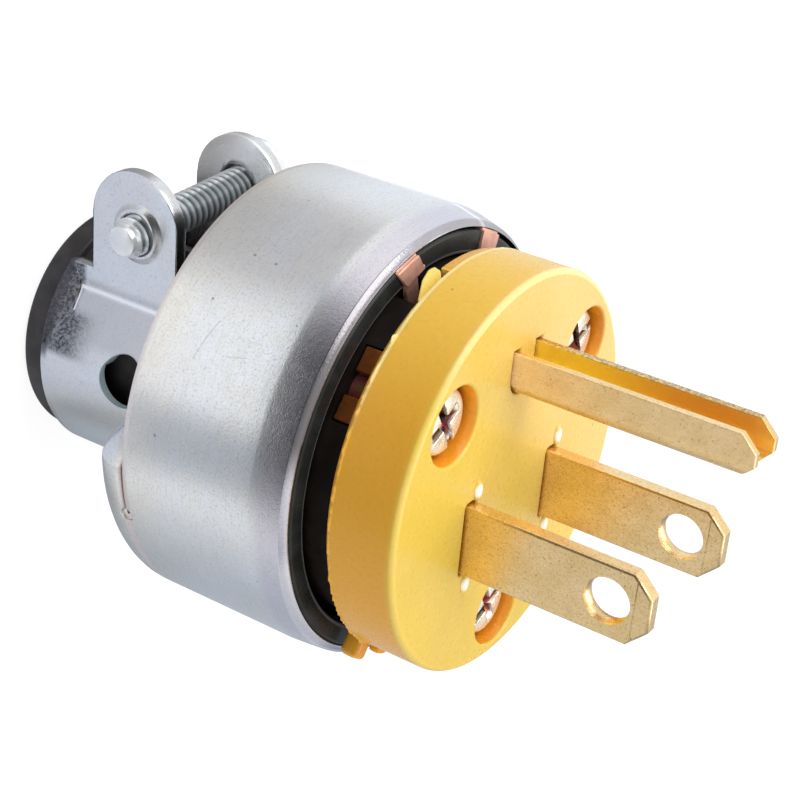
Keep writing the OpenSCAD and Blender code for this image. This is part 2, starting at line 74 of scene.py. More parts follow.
SHELL_HIGH = reach("armor_shell")[1]
FACE_HIGH = reach("front_face")[1]
BLADE_LOW, BLADE_HIGH = reach("neutral_blade")
GROUND_LOW, GROUND_HIGH = reach("ground_prong")
BUSHING_HIGH = reach("cord_bushing")[1]
CLAMP_SCREW_LOW = reach("clamp_screw")[0]


def length(name, text, value):
    """A length property, given in millimetres."""
    return FloatProperty(name=name, description=text, default=value * MM, min=0, unit="LENGTH", precision=5)


def colour(name, text, value):
    """A linear colour property."""
    return FloatVectorProperty(name=name, description=text, default=value, min=0, max=1, subtype="COLOR")


def power(name, text, value):
    """The power of a light."""
    return FloatProperty(name=name, description=text, default=value, min=0, unit="POWER")


class ShellSizes(bpy.types.PropertyGroup):
    """Sizes of the steel shell."""

    sheet: length("Sheet", "Thickness of the steel sheet", 1.2)
    shoulder: length("Shoulder", "Outside radius of the rounded shoulder", 3.0)
    edge: length("Edge rounding", "Rounding of the sheet's cut edges", 0.13)
    draw: length("Mouth draw", "How far the wall draws in towards the mouth", 0.48)
    bevel: length("Mouth bevel", "Bevel round the mouth's edge", 0.54)
    slit: length("Slit", "Width of the slit below the cut edge", 0.16)
    relief: length("Relief hole", "Radius of the hole in each side of the neck", 2.28)


class FaceSizes(bpy.types.PropertyGroup):
    """Sizes of the yellow face."""

    edge: length("Edge radius", "Radius of the face's front edge", 0.5)
    rim: length("Rim rounding", "Rounding of the wells and slots", 0.25)
    well: length("Well radius", "Radius of the screw wells", 3.3)
    flash: length("Flash", "How far the thin moulding flash stands out", 0.3)


class ProngSizes(bpy.types.PropertyGroup):
    """Sizes of the brass prongs."""

    edge: length("Edge rounding", "Rounding of the blades' long edges", 0.24)
    tip: length("Tip cut", "Length of the corner cut at a blade's tip", 1.7)
    hole: length("Hole radius", "Radius of the blades' holes", 1.86)
    sheet: length("Ground sheet", "Thickness of the folded ground prong's sheet", 0.75)


class ScrewSizes(bpy.types.PropertyGroup):
    """Sizes of the screws."""

    bolt: length("Clamp screw radius", "Outside radius of the clamp screw's thread", 1.75)
    pitch: length("Thread pitch", "Distance between two turns of the clamp screw's thread", 0.8)
    thread: length("Thread depth", "Depth of the clamp screw's thread", 0.36)


class FinishColours(bpy.types.PropertyGroup):
    """Colours of the finishes."""

    zinc: colour("Zinc", "Plated steel of the shell", (0.76, 0.77, 0.785))
    brass: colour("Brass", "Rolled brass of the prongs", (0.93, 0.68, 0.33))
    copper: colour("Copper", "Bare copper of the strap", (0.72, 0.4, 0.3))
    clip: colour("Clip", "Dull brass of the screw clips", (0.6, 0.2, 0.05))
    yellow: colour("Yellow", "Front of the moulded face", (0.7, 0.485, 0.062))
    # Amber is the yellow darkened as painted shade, used down the face's side
    amber: colour("Amber", "Deeper tone of the face's side and wells", (0.74, 0.37, 0.03))
    black: colour("Black", "Moulded plastic of the liner", (0.016, 0.017, 0.016))
    brown: colour("Brown", "Moulded plastic of the terminal housing", (0.008, 0.006, 0.005))
    rubber: colour("Rubber", "Rubber of the cord bushing", (0.028, 0.025, 0.026))


class StageSettings(bpy.types.PropertyGroup):
    """Light, floor and camera."""

    key: power("Key light", "Power of the large light from above", 3.2)
    fill: power("Fill light", "Power of the light in front", 1.6)
    bounce: power("Bounce light", "Power of the low light from below the face", 1.6)
    side: power("Side light", "Power of the soft light beside the camera", 1.35)
    top: power("Top light", "Power of the soft light above", 1.0)
    world: FloatProperty(name="World", description="Strength of the even light", default=0.62, min=0)
    lens: FloatProperty(name="Lens", description="Focal length in millimetres", default=83.23, min=1)


class PlugSettings(bpy.types.PropertyGroup):
    """Everything that a user would change."""

    shell: PointerProperty(type=ShellSizes)
    face: PointerProperty(type=FaceSizes)
    prongs: PointerProperty(type=ProngSizes)
    screws: PointerProperty(type=ScrewSizes)
    finish: PointerProperty(type=FinishColours)
    stage: PointerProperty(type=StageSettings)


# Modelling helpers


def clear_selection():
    """Goes to object mode with nothing selected."""
    active = bpy.context.view_layer.objects.active
    if active is not None and active.mode != "OBJECT":
        bpy.ops.object.mode_set(mode="OBJECT")
    bpy.ops.object.select_all(action="DESELECT")


def activate(piece):
    """Makes one piece the only one selected."""
    clear_selection()
    piece.select_set(True)
    bpy.context.view_layer.objects.active = piece
    return piece


@contextmanager
def editing(piece, mode="VERT"):
    """Edit mode on one piece, with all of it selected at the start."""
    activate(piece)
    bpy.ops.object.mode_set(mode="EDIT")
    bpy.ops.mesh.select_mode(type=mode)
    bpy.ops.mesh.select_all(action="SELECT")
    yield
    bpy.ops.object.mode_set(mode="OBJECT")


def named(name):
    """Names the object that an operator has just added."""
    piece = bpy.context.view_layer.objects.active
    piece.name = name
    piece.data.name = name
    return piece


def pick(piece, want, kind="polygons"):
    """Selects the faces, edges or vertices whose middle passes the test; used from object mode."""
    mesh = piece.data
    for group in (mesh.vertices, mesh.edges, mesh.polygons):
        group.foreach_set("select", [False] * len(group))
    points = mesh.vertices
    for item in getattr(mesh, kind):
        if kind == "vertices":
            middle = item.co
        elif kind == "edges":
            middle = (points[item.vertices[0]].co + points[item.vertices[1]].co) / 2
        else:
            middle = item.center
        item.select = want(middle, item)


@contextmanager
def picked(piece, want, kind="polygons"):
    """Edit mode with the parts that pass the test selected."""
    activate(piece)
    pick(piece, want, kind)
    modes = {"vertices": "VERT", "edges": "EDGE", "polygons": "FACE"}
    bpy.context.tool_settings.mesh_select_mode = [m == modes[kind] for m in ("VERT", "EDGE", "FACE")]
    bpy.ops.object.mode_set(mode="EDIT")
    yield
    bpy.ops.object.mode_set(mode="OBJECT")


def chain(name, points):
    """A chain of edges, extruded from point to point."""
    clear_selection()
    bpy.ops.mesh.primitive_plane_add(size=1)
    piece = named(name)
    points = [Vector(p) for p in points]
    with editing(piece):
        bpy.ops.mesh.merge(type="CENTER")
        bpy.ops.transform.translate(value=points[0])
        for here, there in zip(points, points[1:]):
            bpy.ops.mesh.extrude_region_move(TRANSFORM_OT_translate={"value": there - here})
    return piece


def clean(piece, outwards=True):
    """Merges doubles and turns the faces outwards."""
    with editing(piece):
        bpy.ops.mesh.remove_doubles(threshold=1e-4)
        if outwards:
            bpy.ops.mesh.normals_make_consistent(inside=False)
    return piece


def spun(name, profile, steps=COLUMNS):
    """Turns a profile of radius and height about the Z axis."""
    piece = chain(name, [(r, 0, z) for r, z in profile])
    with editing(piece):
        bpy.ops.mesh.spin(steps=steps, angle=2 * math.pi, center=(0, 0, 0), axis=(0, 0, 1))
    return clean(piece)


def plate(name, outline, thickness):
    """Fills a closed outline of points and extrudes it along a vector."""
    piece = chain(name, list(outline) + [outline[0]])
    with editing(piece):
        bpy.ops.mesh.remove_doubles(threshold=1e-4)
        bpy.ops.mesh.edge_face_add()
        bpy.ops.mesh.extrude_region_move(TRANSFORM_OT_translate={"value": thickness})
    return clean(piece)


def lofted(name, rings):
    """Extrudes a filled outline from level to level, each with its own outline of as many points."""
    outline, z = rings[0]
    piece = chain(name, [(x, y, z) for x, y in outline] + [(*outline[0], z)])
    with editing(piece):
        bpy.ops.mesh.remove_doubles(threshold=1e-4)
        bpy.ops.mesh.edge_face_add()
    for (before, low), (after, high) in zip(rings, rings[1:]):
        with picked(piece, lambda p, face: abs(p.z - low) < 1e-4 and abs(face.normal.z) > 0.9):
            bpy.ops.mesh.extrude_region_move(TRANSFORM_OT_translate={"value": (0, 0, high - low)})
        goal = {(round(x, 3), round(y, 3)): new for (x, y), new in zip(before, after)}
        for vertex in piece.data.vertices:
            if abs(vertex.co.z - high) < 1e-4:
                vertex.co.x, vertex.co.y = goal[round(vertex.co.x, 3), round(vertex.co.y, 3)]
    return clean(piece)


def apply_place(piece):
    """Puts an object's place, turn and scale into its mesh."""
    activate(piece)
    bpy.ops.object.transform_apply(location=True, rotation=True, scale=True)
    return piece


def rod(name, radius, start, end, vertices=64):
    """A cylinder between two points."""
    start, end = Vector(start), Vector(end)
    clear_selection()
    bpy.ops.mesh.primitive_cylinder_add(vertices=vertices, radius=radius, depth=(end - start).length)
    piece = named(name)
    piece.rotation_mode = "QUATERNION"
    piece.rotation_quaternion = (end - start).to_track_quat("Z", "Y")
    piece.location = (start + end) / 2
    return apply_place(piece)


def block(name, low, high, rounding=0.0, segments=3):
    """A box between two corners, with its edges bevelled where a rounding is given."""
    low, high = Vector(low), Vector(high)
    clear_selection()
    bpy.ops.mesh.primitive_cube_add(size=1)
    piece = named(name)
    piece.scale = high - low
    piece.location = (low + high) / 2
    apply_place(piece)
    if rounding:
        with editing(piece, "EDGE"):
            bpy.ops.mesh.bevel(offset=rounding, segments=segments, affect="EDGES")
    return piece


def turned(piece, degrees, axis="Z"):
    """Turns a piece about an axis through the origin."""
    piece.rotation_mode = "XYZ"
    piece.rotation_euler = [math.radians(degrees) if axis == letter else 0 for letter in "XYZ"]
    return apply_place(piece)


def moved(piece, offset):
    """Moves a piece's mesh."""
    piece.location = offset
    return apply_place(piece)


def copied(piece, name):
    """A copy with its own mesh."""
    activate(piece)
    bpy.ops.object.duplicate(linked=False)
    return named(name)


def shape_with(piece, kind, **settings):
    """Adds a modifier and applies it."""
    activate(piece)
    modifier = piece.modifiers.new(kind.title(), kind)
    for key, value in settings.items():
        setattr(modifier, key, value)
    bpy.ops.object.modifier_apply(modifier=modifier.name)
    return piece


def drop(piece):
    """Removes a helper object and its mesh."""
    mesh = piece.data
    bpy.data.objects.remove(piece)
    bpy.data.meshes.remove(mesh)


def carve(piece, *cutters, operation="DIFFERENCE"):
    """Cuts each cutter out of a piece, or joins it on, and removes the cutter."""
    for cutter in cutters:
        shape_with(piece, "BOOLEAN", operation=operation, solver="EXACT", use_hole_tolerant=True,
                   object=cutter)
        drop(cutter)
    return clean(piece, outwards=False)


def soften(piece, width, segments=3, angle=40):
    """Rounds every edge that turns by more than an angle."""
    shape_with(piece, "BEVEL", width=width, segments=segments, limit_method="ANGLE",
               angle_limit=math.radians(angle), use_clamp_overlap=False, miter_outer="MITER_ARC")
    return clean(piece, outwards=False)


def cad_copy(node, name):
    """A merged copy of a CAD node's mesh, in millimetres."""
    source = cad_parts[node]
    piece = bpy.data.objects.new(name, source.data.copy())
    bpy.context.scene.collection.objects.link(piece)
    piece.matrix_world = Matrix.Diagonal((1 / MM, 1 / MM, 1 / MM, 1)) @ source.matrix_world
    apply_place(piece)
    bpy.ops.mesh.customdata_custom_splitnormals_clear()
    return clean(piece)


def joined(name, *pieces):
    """Joins separate meshes into one object."""
    clear_selection()
    for piece in pieces:
        piece.select_set(True)
    bpy.context.view_layer.objects.active = pieces[0]
    bpy.ops.object.join()
    return named(name)


def arc(centre, radius, start, end, steps):
    """Points of an arc, angles in degrees."""
    turns = [math.radians(start + (end - start) * i / steps) for i in range(steps + 1)]
    return [(centre[0] + radius * math.cos(t), centre[1] + radius * math.sin(t)) for t in turns]


def smooth_step(low, high, value):
    """0 below low, 1 above high and a soft S between."""
    share = min(1.0, max(0.0, (value - low) / (high - low)))
    return share * share * (3 - 2 * share)


def settle(piece, finish, slot, *nodes, angle=32, flat=False):
    """Brings a finished piece to metres, gives it its finish and ties it to the frame."""
    piece.scale = (MM, MM, MM)
    apply_place(piece)
    bpy.ops.object.shade_smooth_by_angle(angle=math.radians(angle))
    if flat:
        shape_with(piece, "WEIGHTED_NORMAL", keep_sharp=True, weight=50)
    piece.data.materials.clear()
    piece.data.materials.append(finish)
    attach(piece, "root")
    if nodes:
        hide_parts(*nodes)
    return piece


# Finishes


class Wire:
    """A socket in an expression; arithmetic on it adds Math nodes."""

    def __init__(self, finish, socket):
        self.finish = finish
        self.socket = socket

    def math(self, operation, *terms):
        return self.finish.node("Math", {"operation": operation}, dict(enumerate(terms)))

    def __add__(self, other):
        return self.math("ADD", self, other)

    __radd__ = __add__

    def __sub__(self, other):
        return self.math("SUBTRACT", self, other)

    def __rsub__(self, other):
        return self.math("SUBTRACT", other, self)

    def __mul__(self, other):
        return self.math("MULTIPLY", self, other)

    __rmul__ = __mul__

    def __pow__(self, other):
        return self.math("POWER", self, other)

    def cap(self):
        """This value, but 1 at most."""
        return self.math("MINIMUM", self, 1.0)


class Nodes:
    """Makes nodes in one tree."""

    def __init__(self, tree):
        self.tree = tree

    def node(self, kind, settings=None, values=None, out=0):
        """One node: its settings first, then the values or links of its sockets."""
        made = self.tree.nodes.new("ShaderNode" + kind)
        for key, value in (settings or {}).items():
            setattr(made, key, value)
        for key, value in (values or {}).items():
            if isinstance(value, Wire):
                self.tree.links.new(value.socket, made.inputs[key])
            else:
                made.inputs[key].default_value = value
        return Wire(self, made.outputs[out])

    def span(self, value, low, high):
        """Maps low to 0 and high to 1 with soft ends, clamped."""
        sockets = {"Value": value, "From Min": low, "From Max": high, "To Min": 0.0, "To Max": 1.0}
        return self.node("MapRange", {"interpolation_type": "SMOOTHSTEP", "clamp": True}, sockets)

    def band(self, value, rise, start, end, fall):
        """1 from start to end, 0 before rise and after fall, with soft changes between them."""
        return self.span(value, rise, start) * self.span(value, fall, end)

    def blend(self, first, second, share):
        """Mixes two colours."""
        values = {0: share}
        for index, tone in ((6, first), (7, second)):
            values[index] = tone if isinstance(tone, Wire) else (*tone, 1)
        return self.node("Mix", {"data_type": "RGBA", "clamp_factor": True}, values, out=2)

    def layers(self, body, *coats):
        """Lays tones over a colour, each with its own share."""
        for tone, share in coats:
            body = self.blend(body, tone, share)
        return body

    def parts(self, vector):
        """The three parts of a vector."""
        return [self.node("SeparateXYZ", None, {0: vector}, out=i) for i in range(3)]

    def facing(self, vector, aim, low, high):
        """1 where a unit vector is near a direction, 0 where it is far from it; limits as cosines."""
        aim = Vector(aim).normalized()
        share = self.node("VectorMath", {"operation": "DOT_PRODUCT"}, {0: vector, 1: aim}, out=1)
        return self.span(share, low, high)

    def sector(self, aim, turn, width):
        """1 in the middle of a sector about the Z axis, 0 outside; direction and half width in degrees."""
        return self.facing(aim, (*on_ring(1, turn), 0), math.cos(math.radians(width)), 1.0)


class Finish(Nodes):
    """A material under construction: a Principled shader and the nodes that feed it."""

    def __init__(self, name, **constants):
        self.material = bpy.data.materials.new(name)
        self.material.use_nodes = True
        super().__init__(self.material.node_tree)
        self.shader = next(n for n in self.tree.nodes if n.type == "BSDF_PRINCIPLED")
        for key, value in constants.items():
            self.shader.inputs[self.socket(key)].default_value = value

    @staticmethod
    def socket(key):
        """Name of a shader socket, from its keyword."""
        return key.replace("_", " ").title().replace("Ior", "IOR")

    def feed(self, **wires):
        """Links wires to the shader's sockets."""
        for key, wire in wires.items():
            self.tree.links.new(wire.socket, self.shader.inputs[self.socket(key)])
        return self.material

    def place(self, scale=(1, 1, 1)):
        """Object coordinates in millimetres, stretched by a scale."""
        here = self.node("TexCoord", out=3)
        return self.node("Mapping", None, {"Vector": here, "Scale": [s / MM for s in scale]})

    def noise(self, size, detail=2.0, rough=0.5, vector=None):
        """Noise whose features are about size millimetres across."""
        vector = vector or self.place()
        sockets = {"Vector": vector, "Scale": 1 / size, "Detail": detail, "Roughness": rough}
        return self.node("TexNoise", None, sockets)

    def dots(self, size, low, high):
        """1 in the middle of scattered dots about size millimetres apart, 0 between them."""
        away = self.node("TexVoronoi", {"feature": "F1"}, {"Vector": self.place(), "Scale": 1 / size})
        return self.span(away, high, low)

    def bump(self, height, strength, distance, under=None):
        """A Bump node; distance in millimetres."""
        values = {"Height": height, "Strength": strength, "Distance": distance * MM}
        if under is not None:
            values["Normal"] = under
        return self.node("Bump", None, values)

    def round_wall(self):
        """Place on the shell's round wall in millimetres: the way round from the -X side, and the height."""
        x, y, z = self.parts(self.place())
        return x.math("ARCTAN2", 0 - y, 0 - x) * SHELL_HIGH.x, z

    def near_spot(self, across, up, spot, inner, outer):
        """1 within the inner distance of a spot, 0 beyond the outer one."""
        right, rise = across - spot[0], up - spot[1]
        return self.span(right * right + rise * rise, outer * outer, inner * inner)

    def stroke(self, across, up, start, end, width):
        """1 along a straight thin mark between two spots."""
        run, rise = end[0] - start[0], end[1] - start[1]
        share = ((across - start[0]) * run + (up - start[1]) * rise) * (1 / (run * run + rise * rise))
        share = share.math("MAXIMUM", share, 0.0).cap()
        right, over = across - start[0] - share * run, up - start[1] - share * rise
        return self.span(right * right + over * over, width * width, width * width * 0.1)


def shade(base, factor):
    """A colour made lighter or darker."""
    return tuple(min(1.0, c * factor) for c in base)


# Marks on the shell's wall: the way round from the -X side and the height, in millimetres
SCRATCHES = (
    ((-10.17, 24.7), (-11.98, 25.13)),
    ((-11.98, 25.13), (-13.61, 25.66)),
    ((-11.2, 27.6), (-11.6, 29.2)),
)
PITS = ((-19.77, 25.24), (-19.63, 27.42), (-15.1, 24.1), (-3.2, 23.0))


def zinc_finish(base):
    """Satin zinc plating: warm by the cut edge, violet by the mouth, darker in speckled patches on the neck's
    pressed sides, with painted light and shade on the rim, the neck and the far ear.
    """
    f = Finish("satin_zinc", metallic=1.0)
    red, green, blue = base
    x, y, z = f.parts(f.place())
    across, up = f.round_wall()
    tint = f.span(f.noise(7.0, 3.0), 0.35, 0.65)
    cloud = f.span(f.noise(1.7, 4.0, 0.6), 0.32, 0.68)
    grain = f.noise(0.2, 3.0, 0.8)
    coarse = f.noise(0.3, 3.0, 0.75)
    drawn = f.node("CombineXYZ", None, {0: across * 0.45, 1: up * 5.0, 2: 0.0})
    streak = f.span(f.noise(1.0, 3.0, 0.5, drawn), 0.48, 0.72) * f.span(z, 18.5, 20.0)
    speck = f.dots(0.36, 0.04, 0.2) * f.span(f.noise(1.3, 3.0), 0.45, 0.6)
    mark = f.dots(3.2, 0.015, 0.04)
    for start, end in SCRATCHES:
        mark = mark + f.stroke(across, up, start, end, 0.07) * 0.4
    for spot in PITS:
        mark = mark + f.near_spot(across, up, spot, 0.06, 0.17)
    # The wall and the mouth's rim
    warm = f.band(z, 17.5, 19.5, 20.0, 25.5) * (0.35 + tint * 0.65)
    violet = f.span(z, 32.8, 34.0)
    sheared = f.band(z, 19.3, 19.5, 20.0, 20.2)
    rim = f.span(z, 35.3, 35.5)
    shaded = rim * f.span(across, -2.5, -7.0) * (0.35 + f.span(across, -28.0, -21.0) * 0.64)
    lit = rim * f.band(across, 2.0, 5.0, 15.0, 20.0)
    # The neck's pressed sides, its end and its underside
    side = f.span(x.math("ABSOLUTE", x), 6.9, 7.2) * f.span(z, 15.0, 14.5)
    ramp = f.span(z - 4.3 + (y - 5.6) * (y - 5.6) * 0.107, 0.1, -0.1) * f.span(y, 1.6, 2.4) * side
    # Darker speckled patches on the pressed sides near the neck's end
    neck_dark_patch = f.span(z, 5.0, 4.3) * f.band(y, 4.2, 5.0, 8.5, 8.8)
    neck_dark_patch = neck_dark_patch + f.band(y, 0.9, 1.9, 4.2, 5.4) * f.span(z, 8.8, 4.8)
    neck_dark_patch = (neck_dark_patch * side).cap() * (1 - ramp)
    # Painted shade: the leaning part of each pressed side is darkened
    lean_painted_shade = f.band(y, 2.2, 3.4, 6.2, 6.5) * side * (1 - neck_dark_patch) * (1 - ramp)
    neck_end = f.span(z, 3.7, 3.2) * f.span(y, 0.2, 1.2)
    # Painted highlight: a white line along the crease under each ear
    crease_painted_highlight = f.band(y, 6.42, 6.54, 6.7, 6.82) * f.band(z, 3.8, 4.6, 12.5, 13.5) * side
    crease_painted_highlight = (crease_painted_highlight + f.stroke(y, z, (4.86, 4.6), (6.75, 4.45), 0.1) * side).cap()
    shadow = f.band(y, 6.85, 7.0, 7.1, 7.8) * f.span(z, 4.5, 5.5) * side
    # Painted reflection: the neck's underside is lightened towards pale blue-white
    under = f.span(y, -3.0, -6.0) * f.band(z, 3.2, 3.6, 14.8, 15.2)
    relief = sizes_of("shell").relief / MM
    hole = f.near_spot(y, z, RELIEF, relief + 0.03, relief + 0.1) * f.span(z, 15.5, 15.0)
    # Painted light: the far ear's inner face is lightened towards white
    inner_ear_painted_light = f.band(x, 5.8, 6.1, 6.5, 6.7) * f.span(y, 8.9, 9.4)
    body = f.layers(
        f.blend(shade(base, 0.96), (red, green * 1.03, blue * 1.07), tint),
        ((red * 1.06, green * 1.02, blue * 0.94), cloud * 0.4),
        ((0.82, 0.78, 0.69), warm * 0.8),
        ((0.64, 0.6, 0.69), violet * 0.6),
        ((0.88, 0.74, 0.72), sheared * 0.7),
        (shade(base, 0.4), f.span(grain, 0.5, 0.78) * 0.5),
        (shade(base, 0.7), streak * 0.22),
        (shade(base, 0.42), speck * 0.4),
        ((0.06, 0.06, 0.072), neck_dark_patch * (0.66 + f.span(coarse, 0.4, 0.6) * 0.32)),
        ((0.36, 0.37, 0.41), ramp * 0.9),
        ((0.07, 0.07, 0.08), ramp * f.span(coarse, 0.4, 0.58) * 0.8),
        ((0.12, 0.12, 0.14), neck_end * 0.8),
        (shade(base, 0.6), shadow * 0.5),
        ((1.0, 1.0, 1.0), crease_painted_highlight * 0.9),
        ((0.5, 0.64, 0.68), hole * 0.9),
        (shade(base, 0.3), mark * 0.65),
        ((0.5, 0.485, 0.49), lean_painted_shade * 0.5),
        ((0.94, 0.98, 1.0), under * 0.9),
        ((1.0, 1.0, 1.0), inner_ear_painted_light * 0.9),
        ((0.2, 0.19, 0.2), shaded),
        ((0.9, 0.88, 0.9), lit * 0.7),
    )
    rough = 0.2 + (grain - 0.5) * 0.25 + cloud * 0.05 + sheared * 0.2 + hole * 0.3 + ramp * 0.35
    metal = 1 - hole * 0.7 - lit * 0.3 - inner_ear_painted_light * 0.15
    fine = f.bump(grain, 0.55, 0.022)
    fine = f.bump(coarse, violet * 0.5 + neck_dark_patch * 0.25 + ramp * 0.5, 0.03, fine)
    fine = f.bump(speck + mark, 0.3, -0.02, fine)
    return f.feed(base_color=body, roughness=rough, metallic=metal, normal=fine)


def bright_zinc_finish(base):
    """Bright plating of the clamp screw, with painted shade in its thread's roots."""
    f = Finish("bright_zinc", metallic=0.6)
    cloud = f.noise(1.3, 4.0)
    grain = f.noise(0.12, 2.0)
    body = f.blend(shade(base, 1.1), (0.95, 0.97, 1.0), f.span(cloud, 0.35, 0.65))
    x, y, z = f.parts(f.place())
    rise = y - TAPPED_Y - (x + EAR_X) * ((SCREW_Y - TAPPED_Y) / (2 * EAR_X))
    side = z - TAPPED_Z - (x + EAR_X) * ((SCREW_Z - TAPPED_Z) / (2 * EAR_X))
    # Painted shade: the thread's roots are darkened to dark teal
    root = f.span(rise * rise + side * side, 2.75, 2.15) * f.band(x, -8.8, -8.4, 7.0, 7.4)
    body = f.blend(body, (0.1, 0.17, 0.19), root * 0.85)
    return f.feed(base_color=body, roughness=0.16 + cloud * 0.1, normal=f.bump(grain, 0.12, 0.02))


def chromate_finish():
    """Iridescent plating: cream on the screws' heads, with magenta and green tints in their recesses that are
    darkened there as painted shade.
    """
    f = Finish("iridescent_plating", metallic=0.7)
    z = f.parts(f.place())[2]
    drift = f.noise(1.1, 2.0, 0.5)
    # Painted shade: below the head's top the tints turn dark down in the recesses
    deep = f.span(z + (drift - 0.5) * 0.3, 43.72, 43.5)
    low = f.blend((0.5, 0.14, 0.15), (0.4, 0.22, 0.07), f.span(drift, 0.45, 0.62))
    top = f.blend((1.0, 0.98, 0.88), (0.86, 0.8, 0.6), f.span(drift, 0.45, 0.7))
    grain = f.noise(0.1, 2.0)
    body = f.blend(top, low, deep)
    return f.feed(base_color=body, roughness=0.2 + grain * 0.12, normal=f.bump(grain, 0.15, 0.02))


def brass_finish(base):
    """Rolled brass with fine dark speckle, clouds and a few pits; painted light makes it a brighter yellow
    inside the folded prong, darker towards the tip.
    """
    f = Finish("rolled_brass", metallic=1.0)
    red, green, blue = base
    x, y, z = f.parts(f.place())
    # Painted light: inside the folded prong's channel the brass is a brighter yellow, darker towards the tip
    inside = f.span(x.math("ABSOLUTE", x), 1.55, 1.4)
    burr = f.span(y, GROUND_HIGH.y - 0.1, GROUND_HIGH.y - 0.02) * f.band(x, 1.0, 1.3, 2.5, 3.0)
    leg = f.band(x, -2.6, -2.4, -2.0, -1.8) * f.span(y, 7.0, 7.5)
    cloud = f.span(f.noise(2.4, 4.0, 0.6), 0.32, 0.68)
    grain = f.noise(0.22, 3.0, 0.8)
    rolled = f.noise(1.0, 2.0, 0.5, f.place((6.0, 6.0, 0.5)))
    speck = f.dots(0.42, 0.05, 0.26) * f.span(f.noise(0.9, 3.0), 0.4, 0.56)
    pit = f.dots(2.2, 0.02, 0.06)
    body = f.layers(
        f.blend(shade(base, 0.94), (red * 1.03, green * 1.06, blue * 1.2), cloud),
        ((red * 0.5, green * 0.38, blue * 0.25), f.span(grain, 0.48, 0.78) * 0.75),
        ((red * 0.42, green * 0.32, blue * 0.22), speck * 0.7),
        (shade(base, 0.25), pit * 0.75),
        (f.blend((1.0, 0.82, 0.13), (0.92, 0.56, 0.1), f.span(z, 48.0, 60.0)), inside * 0.9),
        ((0.3, 0.2, 0.11), burr * f.span(grain, 0.35, 0.6) * 0.8),
    )
    rough = 0.3 + (grain - 0.5) * 0.25 + (rolled - 0.5) * 0.1 - inside * 0.12
    metal = 1 - inside * 0.5 - leg * 0.65
    fine = f.bump(speck + pit, 0.35, -0.02, f.bump(grain, 0.55, 0.025))
    return f.feed(base_color=body, roughness=rough, metallic=metal, normal=fine)


def stamped_finish(name, base, rough, metallic=1.0):
    """Plain stamped metal, a little uneven in tone."""
    f = Finish(name, metallic=metallic)
    cloud = f.span(f.noise(0.9, 4.0, 0.65), 0.3, 0.7)
    grain = f.noise(0.1, 3.0, 0.7)
    body = f.blend(shade(base, 0.82), shade(base, 1.12), cloud)
    return f.feed(base_color=body, roughness=rough + (grain - 0.5) * 0.2, normal=f.bump(grain, 0.3, 0.02))


def yellow_finish(front, side):
    """Moulded yellow plastic: pale on the front with a painted sheen, darker amber and orange as painted
    shade down its side and in its wells, and painted highlights on its edges and mounds.
    """
    f = Finish("moulded_yellow", subsurface_weight=0.1, subsurface_scale=0.001, ior=1.5)
    f.shader.inputs["Subsurface Radius"].default_value = (1.0, 0.55, 0.12)
    x, y, z = f.parts(f.place())
    out = (x * x + y * y) ** 0.5
    cloud = f.span(f.noise(6.0, 2.0, 0.5), 0.35, 0.65)
    peel = f.noise(0.6, 2.0, 0.5)
    speck = f.dots(3.4, 0.015, 0.04)
    # Painted sheen: the front grows paler towards +X and +Y
    painted_sheen = f.span(x * 0.8 + y * 0.6, -8.0, 16.0)
    pale = (front[0] * 1.2, front[1] * 1.14, front[2] * 3.1)
    front_with_sheen = f.blend(front, pale, painted_sheen * 0.9 + (cloud - 0.5) * 0.2)
    # Painted shade: the side takes a darker amber copy of the yellow, made lighter and yellower towards the
    # top as painted light
    deep = f.blend(side, (side[0] * 1.12, side[1] * 1.4, side[2] * 2.0), f.span(y, 8.0, 18.0))
    # Painted highlight: a pale line round the front edge, stronger where the painted sheen is
    edge = f.span(out, 16.9, 17.05) * f.span(z, 44.35, 44.5) * (0.1 + painted_sheen * 0.45)
    # Painted highlight: a pale line along the top of the face's rear edge
    line = f.span(out, 17.3, 17.4) * f.band(z, 38.6, 38.7, 39.0, 39.1) * f.span(y, 7.0, 13.0)
    thin = f.near_spot(x, y, on_ring(17.1, 108.5), 2.75, 2.95)
    # Painted shade: the screw wells below the front are coloured deep orange
    wells = [f.near_spot(x, y, screw_spot(a), 3.34, 3.5) * f.span(z, 44.75, 44.4) for a in SCREW_ANGLES]
    # Painted highlights: near-white spots on the mounds at the slots' ends
    mound_highlights = [f.near_spot(x, y, spot, 0.3, 0.75) * f.span(z, 44.8, 44.86) for spot in MOUNDS]
    body = f.layers(
        f.blend(deep, front_with_sheen, f.span(z, 43.9, 44.6)),
        ((0.96, 0.82, 0.4), edge),
        ((0.96, 0.8, 0.36), line * 0.7),
        # Painted shade in deep orange behind the back of the face, and painted light in bright yellow on the
        # thin lug
        ((0.74, 0.34, 0.02), f.span(z, 38.72, 38.6) * (1 - thin) * 0.8),
        ((0.98, 0.82, 0.2), f.span(z, 38.6, 37.6) * thin * 0.85),
        *(((0.84, 0.32, 0.015), well * 0.9) for well in wells),
        *(((1.0, 0.96, 0.84), mound) for mound in mound_highlights),
        ((0.2, 0.1, 0.03), speck * 0.8),
    )
    return f.feed(base_color=body, roughness=0.28 + (peel - 0.5) * 0.08, normal=f.bump(peel, 0.035, 0.05))


